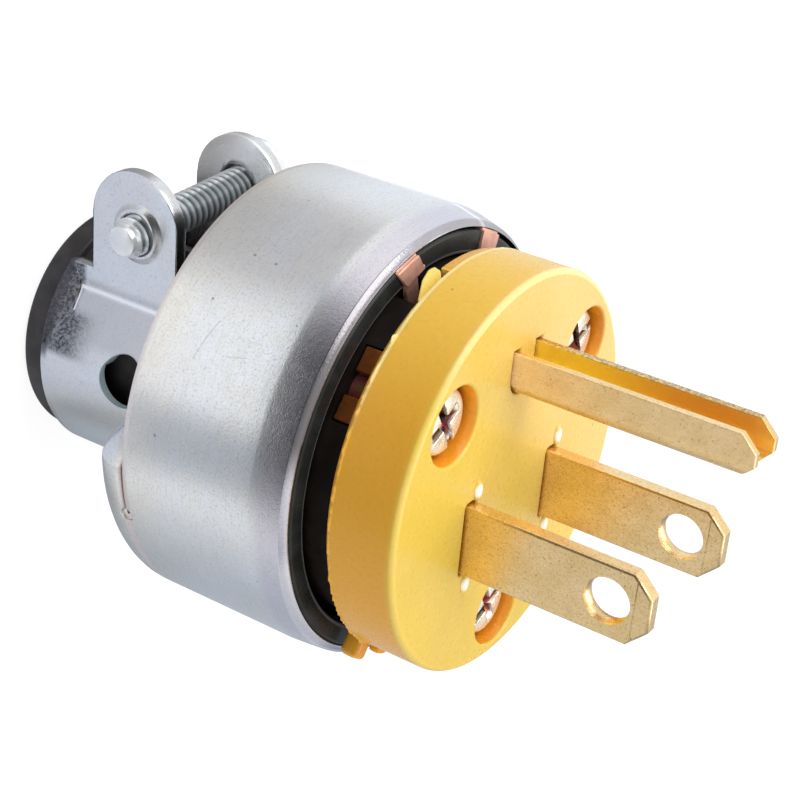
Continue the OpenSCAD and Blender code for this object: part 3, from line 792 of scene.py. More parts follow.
def plastic_finish(name, base, rough, gloss, edge=0.0):
    """Moulded dark plastic with a little dust, and with a painted highlight along the lip's inner edge by a
    share.
    """
    f = Finish(name, ior=1.5, specular_ior_level=gloss)
    x, y, z = f.parts(f.place())
    across, over = x - INNER_SHIFT.x, y - INNER_SHIFT.y
    out = (across * across + over * over) ** 0.5
    # Painted highlight: a grey line along the lip's inner edge
    lip_painted_highlight = f.band(out, 16.5, 16.58, 16.7, 16.86) * f.span(z, 35.2, 35.5) * edge
    cloud = f.span(f.noise(2.2, 4.0), 0.35, 0.65)
    dust = f.dots(0.8, 0.02, 0.07) * f.span(f.noise(2.5, 2.0), 0.5, 0.6)
    peel = f.noise(0.35, 3.0)
    body = f.layers(
        f.blend(base, shade(base, 1.7), cloud),
        ((0.16, 0.17, 0.16), dust * 0.7),
        ((0.24, 0.235, 0.235), lip_painted_highlight),
    )
    rough = rough + (peel - 0.5) * 0.2 + dust * 0.2
    return f.feed(base_color=body, roughness=rough, normal=f.bump(peel, 0.15, 0.04))


FINISHES = {}


def finish_of(name):
    """Each finish is made once, from the colours in the settings."""
    if name not in FINISHES:
        tones = bpy.context.scene.plug.finish
        makers = {
            "zinc": lambda: zinc_finish(tuple(tones.zinc)),
            "bright": lambda: bright_zinc_finish(tuple(tones.zinc)),
            "chromate": chromate_finish,
            "brass": lambda: brass_finish(tuple(tones.brass)),
            "terminal": lambda: stamped_finish("stamped_brass", shade(tones.brass, 0.85), 0.3),
            "copper": lambda: stamped_finish("bare_copper", tuple(tones.copper), 0.42, 0.4),
            "clip": lambda: stamped_finish("dull_brass", tuple(tones.clip), 0.5),
            "yellow": lambda: yellow_finish(tuple(tones.yellow), tuple(tones.amber)),
            "black": lambda: plastic_finish("moulded_black", tuple(tones.black), 0.3, 0.22, 0.8),
            "brown": lambda: plastic_finish("moulded_brown", tuple(tones.brown), 0.5, 0.15),
            "rubber": lambda: plastic_finish("satin_rubber", tuple(tones.rubber), 0.55, 0.4),
        }
        FINISHES[name] = makers[name]()
    return FINISHES[name]


# The steel shell


NECK_R = 11.3
NECK_END = 2.8
NECK_TOP = 15.5
CUT_EDGE = 19.8
SHOULDER_Z = 16.0
EAR_X = 7.5
EAR_W = 9.4
EAR_LOW_Y = 8.7
PRESS_Y = 2.0
BEND_Y = 6.6
RELIEF = (1.0, 12.0)
SCREW_Y = 13.9
SCREW_Z = 10.1
SCREW_TILT = (2.5, 1.6)
TAPPED_Y = SCREW_Y - 2 * EAR_X * math.sin(math.radians(SCREW_TILT[0]))
TAPPED_Z = SCREW_Z + 2 * EAR_X * math.sin(math.radians(SCREW_TILT[1]))
EAR_FIRST = SCREW_Z - EAR_W / 2
EAR_LAST = SCREW_Z + EAR_W / 2
OPEN_DEG = 48.0
SLIT_DEG = 11 * STEP_DEG
# How far the mouth and the liner's lip sit off the axis, and the lip's inner edge
MOUTH_SHIFT = Vector((-0.2, -0.15, 0))
INNER_SHIFT = MOUTH_SHIFT * 1.5


def shell_profile(sizes):
    """Outside of the drawn shell from its mouth down to the neck's end."""
    radius, mouth, corner = SHELL_HIGH.x, SHELL_HIGH.z, sizes.shoulder / MM
    slit, draw, bevel, draw_h = sizes.slit / MM, sizes.draw / MM, sizes.bevel / MM, 3.5
    edge_r = radius - draw - bevel * 1.3
    points = [(edge_r, mouth), (edge_r + 0.26, mouth - 0.1), (edge_r + 0.5, mouth - 0.27)]
    for t in (1, 0.86, 0.72, 0.58, 0.44, 0.3, 0.2, 0.1, 0):
        points.append((radius - draw * t**1.25, mouth - draw_h + (draw_h - bevel) * t))
    points += [(radius, z) for z in (31, 29, 27, 25, 23, 21.4, 20.4, CUT_EDGE, CUT_EDGE - slit)]
    points += arc((radius - corner, SHOULDER_Z + corner), corner, 0, -90, 9)
    points += [(r, SHOULDER_Z) for r in (15.4, 14.2, 13.2)]
    points += arc((NECK_R + 1, SHOULDER_Z - 1), 1.0, 90, 180, 6)
    points += [(NECK_R, SCREW_Z + EAR_W / 2 * math.cos(math.radians(9 * i))) for i in range(21)]
    points += [(NECK_R, z) for z in (5.05, 4.7, 4.4, 4.1, 3.8, 3.5, 3.15, NECK_END)]
    return points


def soft_max(first, second, blend):
    """The larger of two values, with a rounded change from one to the other."""
    return 0.5 * (first + second + math.sqrt((first - second) ** 2 + blend * blend))


def pressed_side(y, z):
    """Distance of the neck's pressed side from the axis plane, at a height and level."""
    round_x = math.sqrt(max(NECK_R**2 - y**2, 0))
    press_x = math.sqrt(NECK_R**2 - PRESS_Y**2)
    leaning = press_x + (EAR_X - press_x) * (y - PRESS_Y) / (BEND_Y - PRESS_Y)
    rounding = 0.4 * smooth_step(7.4, 4.6, y) + 1e-3
    full = soft_max(round_x - soft_max(leaning, EAR_X, 0.12), 0, rounding) * smooth_step(-0.2, 0.9, y)
    ramp = max(z - 2.95, 0) * 1.25
    return round_x - max(-soft_max(-full, -ramp, 0.35 * min(1, ramp)), 0)


def ear_top(z):
    """Height of the ear's outline at a level."""
    side = (EAR_W / 2) ** 2 - (z - SCREW_Z) ** 2
    return SCREW_Y + math.sqrt(max(side, 0))


def from_side(p):
    """Angle above the horizontal plane, the same on both sides."""
    return math.degrees(math.atan2(p.y, abs(p.x)))


class PLUG_OT_shell(bpy.types.Operator):
    """Spins the shell's outside, shears, slits and presses it, bends up the ears and thickens the sheet."""

    bl_idname = "plug.shell"
    bl_label = "Steel shell"

    def execute(self, context):
        sizes = context.scene.plug.shell
        slit = sizes.slit / MM
        shell = spun("steel_shell", shell_profile(sizes))

        def sheared(p, face):
            gap = NECK_TOP < p.z < CUT_EDGE and from_side(p) > 5 * STEP_DEG
            lance = CUT_EDGE - slit < p.z < CUT_EDGE and from_side(p) > -SLIT_DEG
            mouth = p.z < NECK_TOP and from_side(p) > OPEN_DEG
            return gap or lance or mouth

        with picked(shell, sheared):
            bpy.ops.mesh.delete(type="FACE")
        self.press_shoulder(shell)
        self.press_neck(shell)
        self.raise_ears(shell)
        below = [v for v in shell.data.vertices if NECK_TOP < v.co.z < CUT_EDGE - 0.05]
        tucked = [v.index for v in below if from_side(v.co) > -6]
        count = len(shell.data.vertices)
        shape_with(shell, "SOLIDIFY", thickness=sizes.sheet / MM, offset=-1, use_even_offset=True)
        for index in tucked:
            outer, inner = shell.data.vertices[index].co, shell.data.vertices[index + count].co
            inner -= (inner - outer) * 0.6 * smooth_step(-6, -1.5, from_side(outer))
            inner.z = min(inner.z, CUT_EDGE - slit - 0.02)
        inside = SHELL_HIGH.x - sizes.sheet / MM
        for vertex in shell.data.vertices:
            p = vertex.co
            p.z = max(p.z, NECK_END)
            out = math.hypot(p.x, p.y)
            if p.z > 30 and out < inside:
                p.x, p.y = p.x * inside / out, p.y * inside / out
        relief, hollow, *others = self.hole_cutters(sizes)
        carve(shell, *others)
        soften(shell, sizes.edge / MM, 2, 68)
        carve(shell, relief, hollow)
        settle(shell, finish_of("zinc"), "zinc_steel", "armor_shell", angle=24)
        self.add_collar()
        return {"FINISHED"}

    def press_shoulder(self, shell):
        """Lets the shoulder's open ends run in under the wall onto the neck, and shifts the mouth."""
        low, span = SHOULDER_Z - 1, SHELL_HIGH.x - NECK_R + CUT_EDGE - SHOULDER_Z + 1
        for vertex in shell.data.vertices:
            p = vertex.co
            out = math.hypot(p.x, p.y)
            p += MOUTH_SHIFT * smooth_step(32.5, 36, p.z)
            if low < p.z < CUT_EDGE - 0.01 and out > NECK_R + 1e-3:
                share = smooth_step(-3.5, 5 * STEP_DEG, from_side(p))
                along = (out - NECK_R + p.z - low) / span
                new_out = out + (NECK_R + 0.5 * along - out) * share
                p.z += (low + 2.0 * along - p.z) * share
                p.x, p.y = p.x * new_out / out, p.y * new_out / out

    def press_neck(self, shell):
        """Presses the neck's sides in towards the ears."""
        for vertex in shell.data.vertices:
            p = vertex.co
            if p.z < NECK_TOP + 2 and p.y > -0.2:
                side = math.copysign(1, p.x)
                if abs(from_side(p) - OPEN_DEG) < 0.1:
                    p.x, p.y = side * EAR_X, math.sqrt(NECK_R**2 - EAR_X**2)
                elif math.hypot(p.x, p.y) < NECK_R + 1.5:
                    p.x += side * (pressed_side(p.y, p.z) - math.sqrt(NECK_R**2 - p.y**2))

    def raise_ears(self, shell):
        """Extrudes the neck's open edges upwards and shapes the ears' round tops."""
        rows = 9
        start_y = math.sqrt(NECK_R**2 - EAR_X**2)

        def open_edge(p, edge):
            return abs(abs(p.x) - EAR_X) < 1e-3 and abs(p.y - start_y) < 1e-3 and p.z < NECK_TOP

        with picked(shell, open_edge, "edges"):
            bpy.ops.mesh.extrude_region_move(TRANSFORM_OT_translate={"value": (0, EAR_LOW_Y - start_y, 0)})

        def ear_edge(p, edge):
            inside = EAR_FIRST < p.z < EAR_LAST
            return abs(abs(p.x) - EAR_X) < 1e-3 and abs(p.y - EAR_LOW_Y) < 1e-3 and inside

        with picked(shell, ear_edge, "edges"):
            for row in range(rows):
                bpy.ops.mesh.extrude_region_move(TRANSFORM_OT_translate={"value": (0, 10.0, 0)})
        for vertex in shell.data.vertices:
            p = vertex.co
            if abs(abs(p.x) - EAR_X) < 1e-3 and p.z < NECK_TOP and p.y > EAR_LOW_Y + 5:
                share = (p.y - EAR_LOW_Y) / (10.0 * rows)
                p.y = EAR_LOW_Y + share * (ear_top(p.z) - EAR_LOW_Y)
        clean(shell)

    def hole_cutters(self, sizes):
        """The neck's relief holes, the slit's end holes and the screw's holes in the ears."""
        rise, level = RELIEF
        relief = rod("relief_cutter", sizes.relief / MM, (-15, rise, level), (15, rise, level))
        rise, level = rise - 0.9, level - 0.5
        hollow = rod("hollow_cutter", 2.4, (-10.6, rise, level), (10.6, rise, level))
        end_z = CUT_EDGE - sizes.slit / MM / 2
        deep = SHELL_HIGH.x * math.cos(math.radians(SLIT_DEG)) - 0.3
        notch_y = -SHELL_HIGH.x * math.sin(math.radians(SLIT_DEG))
        notches = [rod("notch_cutter", 0.55, (side * deep, notch_y, end_z), (side * 25, notch_y, end_z), 24)
                   for side in (-1, 1)]
        notch = joined("notch_cutter", *notches)
        bolt = sizes_of("screws").bolt / MM
        tight = rod("tapped_cutter", bolt + 0.1, (-12, TAPPED_Y, TAPPED_Z), (0, TAPPED_Y, TAPPED_Z))
        loose = rod("clear_cutter", 1.98, (0.5, SCREW_Y, SCREW_Z), (12, SCREW_Y, SCREW_Z))
        return relief, hollow, notch, tight, loose

    def add_collar(self):
        """The drawn collar round the tapped hole in the near ear."""
        hole = sizes_of("screws").bolt / MM + 0.08
        profile = [(hole, -0.4), (hole, 0.3), (hole + 0.1, 0.42), (hole + 0.25, 0.42), (hole + 0.45, 0.3),
                   (hole + 0.65, 0.08), (hole + 1.0, -0.05), (hole + 1.0, -0.4)]
        collar = spun("ear_collar", profile + [profile[0]], 72)
        turned(collar, -90, "Y")
        moved(collar, (-EAR_X, TAPPED_Y, TAPPED_Z))
        settle(collar, finish_of("zinc"), "zinc_steel", angle=60)


# The yellow face


FACE_BACK = 38.75
WELL_NAMES = ("left", "right", "bottom")
SCREW_ANGLES = (141.0, 39.0, 270.0)
SCREW_CIRCLE = 13.1
SCREW_SEAT = 42.2
BLADE_X = 6.35
BLADE_Y = -3.3
# Each lug: angle, inner and outer radius, rounding, and its outline across and along the axis
LUGS = (
    (107.0, 16.8, 17.3, 0.14, ((-1.95, 37.3), (-1.35, 37.08), (0.0, 37.4), (2.3, 38.5), (2.5, 39.1),
                               (-0.3, 39.1), (-0.55, 38.9), (-1.75, 38.0))),
    (352.0, 16.2, 18.1, 0.3, ((-1.3, 39.4), (1.3, 39.4), (0.8, 36.1), (-0.8, 36.1))),
    (235.6, 16.6, 19.08, 0.42, ((-0.95, 38.35), (0.85, 38.35), (0.85, 37.2), (0.5, 36.5), (-0.6, 36.5),
                                (-0.95, 37.2))),
    (235.6, 16.4, 17.5, 0.2, ((-0.7, 39.2), (0.5, 39.2), (0.5, 37.8), (-0.7, 37.8))),
    (241.5, 16.6, 18.12, 0.28, ((-0.75, 39.1), (0.75, 39.1), (0.6, 38.0), (-0.6, 38.0))),
)
MOUNDS = ((-5.7, 0.9), (7.0, 0.9), (-6.2, -7.6), (6.6, -7.6))


def screw_spot(angle, z=0.0):
    """Where a face screw's axis crosses a level."""
    turn = math.radians(angle)
    return Vector((SCREW_CIRCLE * math.cos(turn), SCREW_CIRCLE * math.sin(turn), z))


def channel_outline(half, low, top, fold, wall, steps=6):
    """Outline of the folded ground prong's section, open at its top."""
    inner = half - wall
    tight = max(fold - wall, 0.15)
    inner_bend = arc((inner - tight, low + wall + tight), tight, 0, -90, steps)
    outer_bend = arc((half - fold, low + fold), fold, 0, -90, steps)
    points = [(half, top), (inner, top), *inner_bend]
    points += [(-x, y) for x, y in reversed(inner_bend)] + [(-inner, top), (-half, top)]
    points += [(-x, y) for x, y in outer_bend] + list(reversed(outer_bend))
    return points


def rounded_box(x, y, half_x, half_y, corner, steps=4):
    """Outline of a rectangle with rounded corners."""
    points = []
    for turn, (sx, sy) in enumerate(((1, 1), (-1, 1), (-1, -1), (1, -1))):
        centre = (x + sx * (half_x - corner), y + sy * (half_y - corner))
        points += arc(centre, corner, 90 * turn, 90 * turn + 90, steps)
    return points


class PLUG_OT_face(bpy.types.Operator):
    """Models the yellow face with its wells, slots, spacer lugs and moulding flash."""

    bl_idname = "plug.face"
    bl_label = "Yellow face"

    def execute(self, context):
        sizes = context.scene.plug.face
        back, front = FACE_BACK, FACE_HIGH.z
        radius = SHELL_HIGH.x - 2.2
        edge = sizes.edge / MM
        profile = arc((radius - edge, front - edge), edge, 90, 0, 8)
        profile += [(radius, z) for z in (42.6, 41.4, 40.2, 39.2, back)]
        profile += [(16.85, back), (16.85, back - 0.5), (16.05, back - 0.5), (16.05, back)]
        face = spun("yellow_face", profile)
        with editing(face):
            bpy.ops.mesh.fill_holes(sides=0)
            bpy.ops.mesh.normals_make_consistent(inside=False)
        carve(face, *self.cutters(sizes, front, back))
        extras = [self.lug(*details) for details in LUGS]
        extras += [self.flash(sizes, radius, back), self.flange(back)]
        extras += [self.mound(x, y, front) for x, y in MOUNDS]
        face = joined("yellow_face", face, *extras)
        settle(face, finish_of("yellow"), "yellow_plastic", "front_face", angle=35, flat=True)
        return {"FINISHED"}

    def cutters(self, sizes, front, back):
        """Wells, screw holes and prong slots, each with a rounded rim."""
        rim = sizes.rim / MM
        well, seat = sizes.well / MM, SCREW_SEAT
        turns = [math.pi / 8 * i for i in range(5)]
        flare = [(rim * (1 - math.sin(t)), -rim * (1 - math.cos(t))) for t in turns]
        tools = []
        for angle in SCREW_ANGLES:
            profile = [(0, front + 2), (well + rim, front + 2)] + [(well + e, front + z) for e, z in flare]
            profile += [(well, seat + 0.3)] + arc((well - 0.3, seat + 0.3), 0.3, 0, -90, 3) + [(0, seat)]
            tools.append(moved(spun("well_cutter", profile, 72), screw_spot(angle)))
            low, high = screw_spot(angle, back - 3), screw_spot(angle, front + 1)
            tools.append(rod("hole_cutter", 1.9, low, high, 48))
        levels = [(0.0, back - 3), (0.0, front - 1)]
        levels += [(e, front + z) for e, z in reversed(flare)] + [(rim, front + 2)]
        for side in (-1, 1):
            slots = [rounded_box(side * BLADE_X, BLADE_Y, 0.85 + e, 3.33 + e, 0.3 + e) for e, _ in levels]
            tools.append(lofted("slot_cutter", [(slot, z) for slot, (_, z) in zip(slots, levels)]))
        slots = [channel_outline(2.25 + e, 7.55 - e, 11.75 + e, 1.85 + e, 1.05 + 2 * e) for e, _ in levels]
        tools.append(lofted("channel_cutter", [(slot, z) for slot, (_, z) in zip(slots, levels)]))
        return tools

    def lug(self, angle, inner, outer, rounding, outline):
        """A lug that stands out of the back of the face."""
        lug = plate("spacer_lug", [(inner, y, z) for y, z in outline], (outer - inner, 0, 0))
        soften(lug, rounding, 3, 30)
        return turned(lug, angle)

    def flange(self, back):
        """A short flange behind the face, beside its thin lug."""
        turns = [57.5 + 2.625 * i for i in range(17)]
        edge = [on_ring(17.2, a) for a in turns] + [on_ring(16.3, a) for a in reversed(turns)]
        flange = plate("face_flange", [(x, y, back + 0.1) for x, y in edge], (0, 0, -1.2))
        return soften(flange, 0.12, 2, 50)

    def flash(self, sizes, radius, back):
        """A thin ragged fin where the two halves of the mould met."""
        reach_out = sizes.flash / MM
        profile = [(radius - 0.3, back + 0.3), (radius, back + 0.22), (radius + reach_out, back + 0.1),
                   (radius + reach_out, back + 0.04), (radius - 0.1, back - 0.02), (radius - 0.3, back)]
        fin = spun("mould_flash", profile + [profile[0]], 3 * COLUMNS)
        for vertex in fin.data.vertices:
            p = vertex.co
            out = math.hypot(p.x, p.y) - radius
            if out > 0.05:
                turn = math.atan2(p.y, p.x)
                spot = Vector((math.cos(turn), math.sin(turn), 0))
                degrees = math.degrees(turn) % 360
                rough = 0.2 + 0.8 * smooth_step(128, 150, degrees) * smooth_step(250, 225, degrees)
                ragged = 0.3 + 0.6 * noise.noise(spot * 19) + 0.5 * noise.noise(spot * 47)
                bulge = max(0, noise.noise(spot * 13 + Vector((4, 1, 0))) - 0.25)
                knob = smooth_step(1.6, 0.3, abs(degrees - 127.6))
                share = max(0.05, ragged) * out * rough + (bulge * rough + knob) * reach_out * 1.2
                p.x, p.y = spot.x * (radius + share), spot.y * (radius + share)
                p.z += 0.06 * noise.noise(spot * 33)
        return fin

    def mound(self, x, y, front):
        """A low moulded mound at the end of a blade's slot."""
        clear_selection()
        bpy.ops.mesh.primitive_uv_sphere_add(segments=24, ring_count=12, radius=1)
        piece = named("slot_mound")
        piece.scale = (0.55, 1.0, 0.42)
        piece.location = (x, y, front - 0.06)
        apply_place(piece)
        with editing(piece):
            cut = (x, y, front - 0.1)
            bpy.ops.mesh.bisect(plane_co=cut, plane_no=(0, 0, -1), clear_outer=True, use_fill=True)
        return clean(piece)


# Prongs


class PLUG_OT_blades(bpy.types.Operator):
    """Models a flat blade with rounded edges, cut tip corners and a hole, and copies it to the other side."""

    bl_idname = "plug.blades"
    bl_label = "Flat blades"

    def execute(self, context):
        sizes = context.scene.plug.prongs
        cut, half, tip = sizes.tip / MM, 3.175, BLADE_HIGH.z
        thick, tail_half = 1.4, 4.2
        face_z, tail_z = FACE_BACK, BLADE_LOW.z
        outline = [(tail_half, tail_z), (tail_half, face_z), (half, face_z), (half, tip - cut)]
        outline += [(half - cut, tip)]
        outline += [(-y, z) for y, z in reversed(outline)]
        blade = plate("neutral_prong", [(-thick / 2, y, z) for y, z in outline], (thick, 0, 0))
        hole_z, hole, flare = tip - 3.7, sizes.hole / MM, 0.16
        bore = [(0, -1.5), (hole + flare, -1.5), (hole + flare, -thick / 2), (hole + 0.08, 0.2 - thick / 2),
                (hole, 0.45 - thick / 2)]
        bore += [(r, -x) for r, x in reversed(bore)]
        cutter = spun("blade_bore", bore, 64)
        turned(cutter, 90, "Y")
        moved(cutter, (0, 0, hole_z))
        soften(blade, sizes.edge / MM, 4, 60)
        carve(blade, cutter)
        crease_z = tip - 1.35
        for side in (-1, 1):
            groove = block("tip_crease", (side * thick / 2 - 0.035, -half - 1, crease_z - 0.06),
                           (side * thick / 2 + 0.035, half + 1, crease_z + 0.06))
            carve(blade, groove)
        moved(blade, (-BLADE_X, BLADE_Y, 0))
        twin = copied(blade, "line_prong")
        moved(twin, (2 * BLADE_X, 0, 0))
        settle(blade, finish_of("brass"), "prong_brass", "neutral_blade", angle=38, flat=True)
        settle(twin, finish_of("brass"), "prong_brass", "line_blade", angle=38, flat=True)
        return {"FINISHED"}


class PLUG_OT_ground_prong(bpy.types.Operator):
    """Extrudes the folded channel of the ground prong and cuts its tip."""

    bl_idname = "plug.ground_prong"
    bl_label = "Ground prong"

    def execute(self, context):
        sizes = context.scene.plug.prongs
        low_y, high_y, tip = 7.7, GROUND_HIGH.y, GROUND_HIGH.z
        wall, cut = sizes.sheet / MM, 1.4
        section = channel_outline(2.1, low_y, high_y, 1.7, wall, 8)
        prong = plate("folded_prong", [(x, y, FACE_BACK) for x, y in section], (0, 0, tip - FACE_BACK))
        for y, side in ((high_y, 1), (low_y, -1)):
            near, far = y - side * cut, y + side * 2
            corner = [(near, tip), (far, tip - cut - 2), (far, tip + 2), (near - side * 2, tip + 2)]
            carve(prong, plate("tip_cutter", [(-4, *point) for point in corner], (8, 0, 0)))
        tail = block("ground_tail", (-3.6, low_y, GROUND_LOW.z), (3.6, low_y + wall, FACE_BACK), 0.15)
        soften(prong, 0.1, 3, 48)
        prong = joined("folded_prong", prong, tail)
        settle(prong, finish_of("brass"), "prong_brass", "ground_prong", angle=38, flat=True)
        return {"FINISHED"}


# Screws


def head_profile(radius, height, dome):
    """Half section of a pan head above its seat."""
    points = [(radius - 0.12, 0), (radius, 0.12), (radius, height - dome)]
    points += arc((radius - dome, height - dome), dome, 10, 80, 6)
    points += [(radius * 0.45, height + 0.07), (0, height + 0.1)]
    return points


def recess_cutters(radius, height, depth):
    """A tapered cross recess and the slot that runs across the head."""
    tools = []
    for turn in (0, 90):
        wide, deep = radius * 0.68, height - depth
        outline = [(-wide, -0.45, height + 1), (wide, -0.45, height + 1), (wide, -0.45, height),
                   (0.3, -0.45, deep), (-0.3, -0.45, deep), (-wide, -0.45, height)]
        tools.append(turned(plate("cross_cutter", outline, (0, 0.9, 0)), turn))
    slot = block("slot_cutter", (-radius - 1, -0.4, height - depth * 0.55), (radius + 1, 0.4, height + 1))
    return tools + [slot]


def screw_head(name, radius, height, dome, depth):
    """A pan head with a combined cross and slot, seated at the origin."""
    head = spun(name, [(0, 0)] + head_profile(radius, height, dome), 96)
    with editing(head):
        bpy.ops.mesh.remove_doubles(threshold=0.02)
    carve(head, *recess_cutters(radius, height, depth))
    return soften(head, 0.07, 2, 50)


def threaded_shank(name, radius, pitch, depth, start, end):
    """A ridge wound along Z by the screw modifier, with tapered ends, from start up to end."""
    root = radius - depth
    turns = int((end - start) / pitch) + 1
    profile = [(root, 0), (root, pitch * 0.12), (radius - 0.04, pitch * 0.46), (radius, pitch * 0.5),
               (radius - 0.04, pitch * 0.56), (root, pitch * 0.88), (root, pitch)]
    thread = chain(name, [(r, 0, start + z) for r, z in profile])
    shape_with(thread, "SCREW", axis="Z", angle=2 * math.pi, screw_offset=pitch, iterations=turns, steps=40,
               render_steps=40, use_merge_vertices=True, merge_threshold=1e-4)
    with editing(thread):
        bpy.ops.mesh.bisect(plane_co=(0, 0, start + pitch * 0.5), plane_no=(0, 0, -1), clear_outer=True)
        bpy.ops.mesh.select_all(action="SELECT")
        bpy.ops.mesh.bisect(plane_co=(0, 0, end), plane_no=(0, 0, 1), clear_outer=True)
    for vertex in thread.data.vertices:
        p = vertex.co
        limit = root - 0.12 + max(0, p.z - start - pitch * 0.5) * 0.9
        out = math.hypot(p.x, p.y)
        if out > limit:
            p.x, p.y = p.x * limit / out, p.y * limit / out
    return clean(thread)


class PLUG_OT_face_screws(bpy.types.Operator):
    """Models one recessed face screw and copies it to the three wells."""

    bl_idname = "plug.face_screws"
    bl_label = "Face screws"

    def execute(self, context):
        head = screw_head("face_screw", 2.8, 1.62, 0.5, 1.15)
        shank = rod("face_screw_shank", 1.72, (0, 0, -16.9), (0, 0, 0.02), 48)
        soften(shank, 0.3, 2, 50)
        model = joined("screw_in_left_well", head, shank)
        spins = (118.0, 22.0, 205.0)
        copies = [model] + [copied(model, f"screw_in_{name}_well") for name in WELL_NAMES[1:]]
        for screw, name, angle, spin in zip(copies, WELL_NAMES, SCREW_ANGLES, spins):
            turned(screw, spin)
            moved(screw, screw_spot(angle, SCREW_SEAT))
            settle(screw, finish_of("chromate"), "chromate_steel", f"face_screw_{name}", angle=35, flat=True)
        return {"FINISHED"}


class PLUG_OT_clamp_screw(bpy.types.Operator):
    """Winds the clamp screw's thread and adds its head beside the far ear."""

    bl_idname = "plug.clamp_screw"
    bl_label = "Clamp screw"

    def execute(self, context):
        sizes = context.scene.plug.screws
        seat, low = EAR_X, CLAMP_SCREW_LOW.x - EAR_X
        bolt_r, depth = sizes.bolt / MM, sizes.thread / MM
        root = bolt_r - depth
        head = screw_head("clamp_bolt", 3.8, 2.5, 0.85, 1.4)
        thread = threaded_shank("clamp_thread", bolt_r, sizes.pitch / MM, depth, low, 0.3)
        end = spun("clamp_tip", [(0, low + 0.02), (root - 0.2, low + 0.02), (root - 0.06, low + 0.1),
                                 (root + 0.02, low + 0.3), (root + 0.02, low + 1.2), (0, low + 1.2)], 64)
        bolt = joined("clamp_bolt", head, thread, end)
        turned(bolt, 90, "Y")
        turned(bolt, SCREW_TILT[0])
        turned(bolt, SCREW_TILT[1], "Y")
        moved(bolt, (seat, SCREW_Y, SCREW_Z))
        settle(bolt, finish_of("bright"), "screw_steel", "clamp_screw", angle=35)
        return {"FINISHED"}


# Bushing, strap, clips and the pieces that keep their CAD form


class PLUG_OT_bushing(bpy.types.Operator):
    """Spins the cord bushing with its rounded flange and cuts the sleeve's slot."""

    bl_idname = "plug.bushing"
    bl_label = "Cord bushing"

    def execute(self, context):
        flange_r, bore, top = BUSHING_HIGH.x, 5.0, BUSHING_HIGH.z
        sleeve, band = 8.63, 9.95
        profile = [(bore, top), (bore, 0.5)] + arc((bore + 0.5, 0.5), 0.5, 180, 270, 4)
        profile += arc((flange_r - 0.8, 0.8), 0.8, 270, 360, 7) + arc((flange_r - 0.25, 2.55), 0.25, 0, 90, 3)
        profile += [(band, 2.8), (band, 3.8)] + arc((band - 0.15, 3.8), 0.15, 0, 90, 2)
        profile += [(sleeve + 0.2, 3.95), (sleeve, 4.15), (sleeve, 10), (sleeve, top - 0.3)]
        profile += [(sleeve - 0.3, top), (bore, top)]
        bushing = spun("rubber_bushing", profile, 192)
        carve(bushing, block("sleeve_cutter", (-1.5, 0, 3.95), (1.5, 14, top + 2)))
        soften(bushing, 0.12, 2, 60)
        settle(bushing, finish_of("rubber"), "black_rubber", "cord_bushing", angle=40)
        return {"FINISHED"}


def on_ring(radius, angle):
    """A point at an angle about the axis."""
    return radius * math.cos(math.radians(angle)), radius * math.sin(math.radians(angle))


# Each end of the strap over the lip: its outer edge's angles and the two corners of its inner fold
STRAP_ENDS = (
    ((111.3, 108.0, 105.0, 101.8), (-2.83, 16.76), (-5.1, 15.83)),
    ((70.5, 67.5, 64.5, 61.5), (8.1, 14.5), (5.8, 15.6)),
)


def strap_end(angles, right, left, gap, top, thick, depth):
    """The part of the strap that lies on the lip and the leg that hangs from it, grown by a gap."""
    outer = [Vector((*on_ring(18.25 + gap, a), 0)) for a in angles]
    right, left = Vector((*right, 0)), Vector((*left, 0))
    along = (left - right).normalized()
    inward = Vector((-along.y, along.x, 0))
    inward = -inward if inward.dot(right) > 0 else inward
    outer[0] += along * gap
    outer[-1] -= along * gap
    right, left = right - along * gap, left + along * gap
    far_right, far_left = right + inward * (thick + gap), left + inward * (thick + gap)
    lift = Vector((0, 0, top))
    lid = plate("strap_lid", [p + lift for p in (*outer, far_right, far_left)], (0, 0, -thick - gap))
    leg = plate("strap_leg", [p + lift for p in (right, left, far_left, far_right)], (0, 0, -depth))
    return carve(lid, leg, operation="UNION")


class PLUG_OT_liner(bpy.types.Operator):
    """Keeps the liner's cup from the CAD and models its broad rounded lip, slotted for the strap."""

    bl_idname = "plug.liner"
    bl_label = "Insulating liner"

    def execute(self, context):
        level, top, inner, outer = 34.0, SHELL_HIGH.z, 16.35, 18.4
        cup = cad_copy("insulating_liner", "liner_cup")
        with editing(cup):
            bpy.ops.mesh.bisect(plane_co=(0, 0, level), plane_no=(0, 0, 1), clear_outer=True, use_fill=True)
        for side in (-1, 1):
            carve(cup, block("shoulder_cutter", (side * 16 - 5, -6.2, 15), (side * 16 + 5, 2.6, 20.2)))
        profile = [(16.75, level - 0.1), (16.75, level + 0.5), (inner, level + 1)]
        profile += arc((inner + 0.5, top - 0.5), 0.5, 180, 90, 6)
        profile += arc((outer - 0.35, top - 0.35), 0.35, 90, 0, 5)
        profile += [(outer, level + 0.4), (18.28, level), (18.28, level - 0.1), profile[0]]
        lip = spun("liner_lip", profile)
        for vertex in lip.data.vertices:
            inside = math.hypot(vertex.co.x, vertex.co.y) < 17.0
            shift = INNER_SHIFT if inside else MOUTH_SHIFT
            vertex.co += shift * smooth_step(level, level + 1, vertex.co.z)
        for details in STRAP_ENDS:
            carve(lip, strap_end(*details, 0.06, top + 1, 1.5, 3.5))
            fold = block("fold_cutter", (17.85, -1.5, level - 1), (20, 1.5, top + 1))
            carve(lip, turned(fold, sum(details[0]) / 4))
        liner = joined("liner_cup", cup, lip)
        settle(liner, finish_of("black"), "black_plastic", "insulating_liner", angle=35)
        return {"FINISHED"}


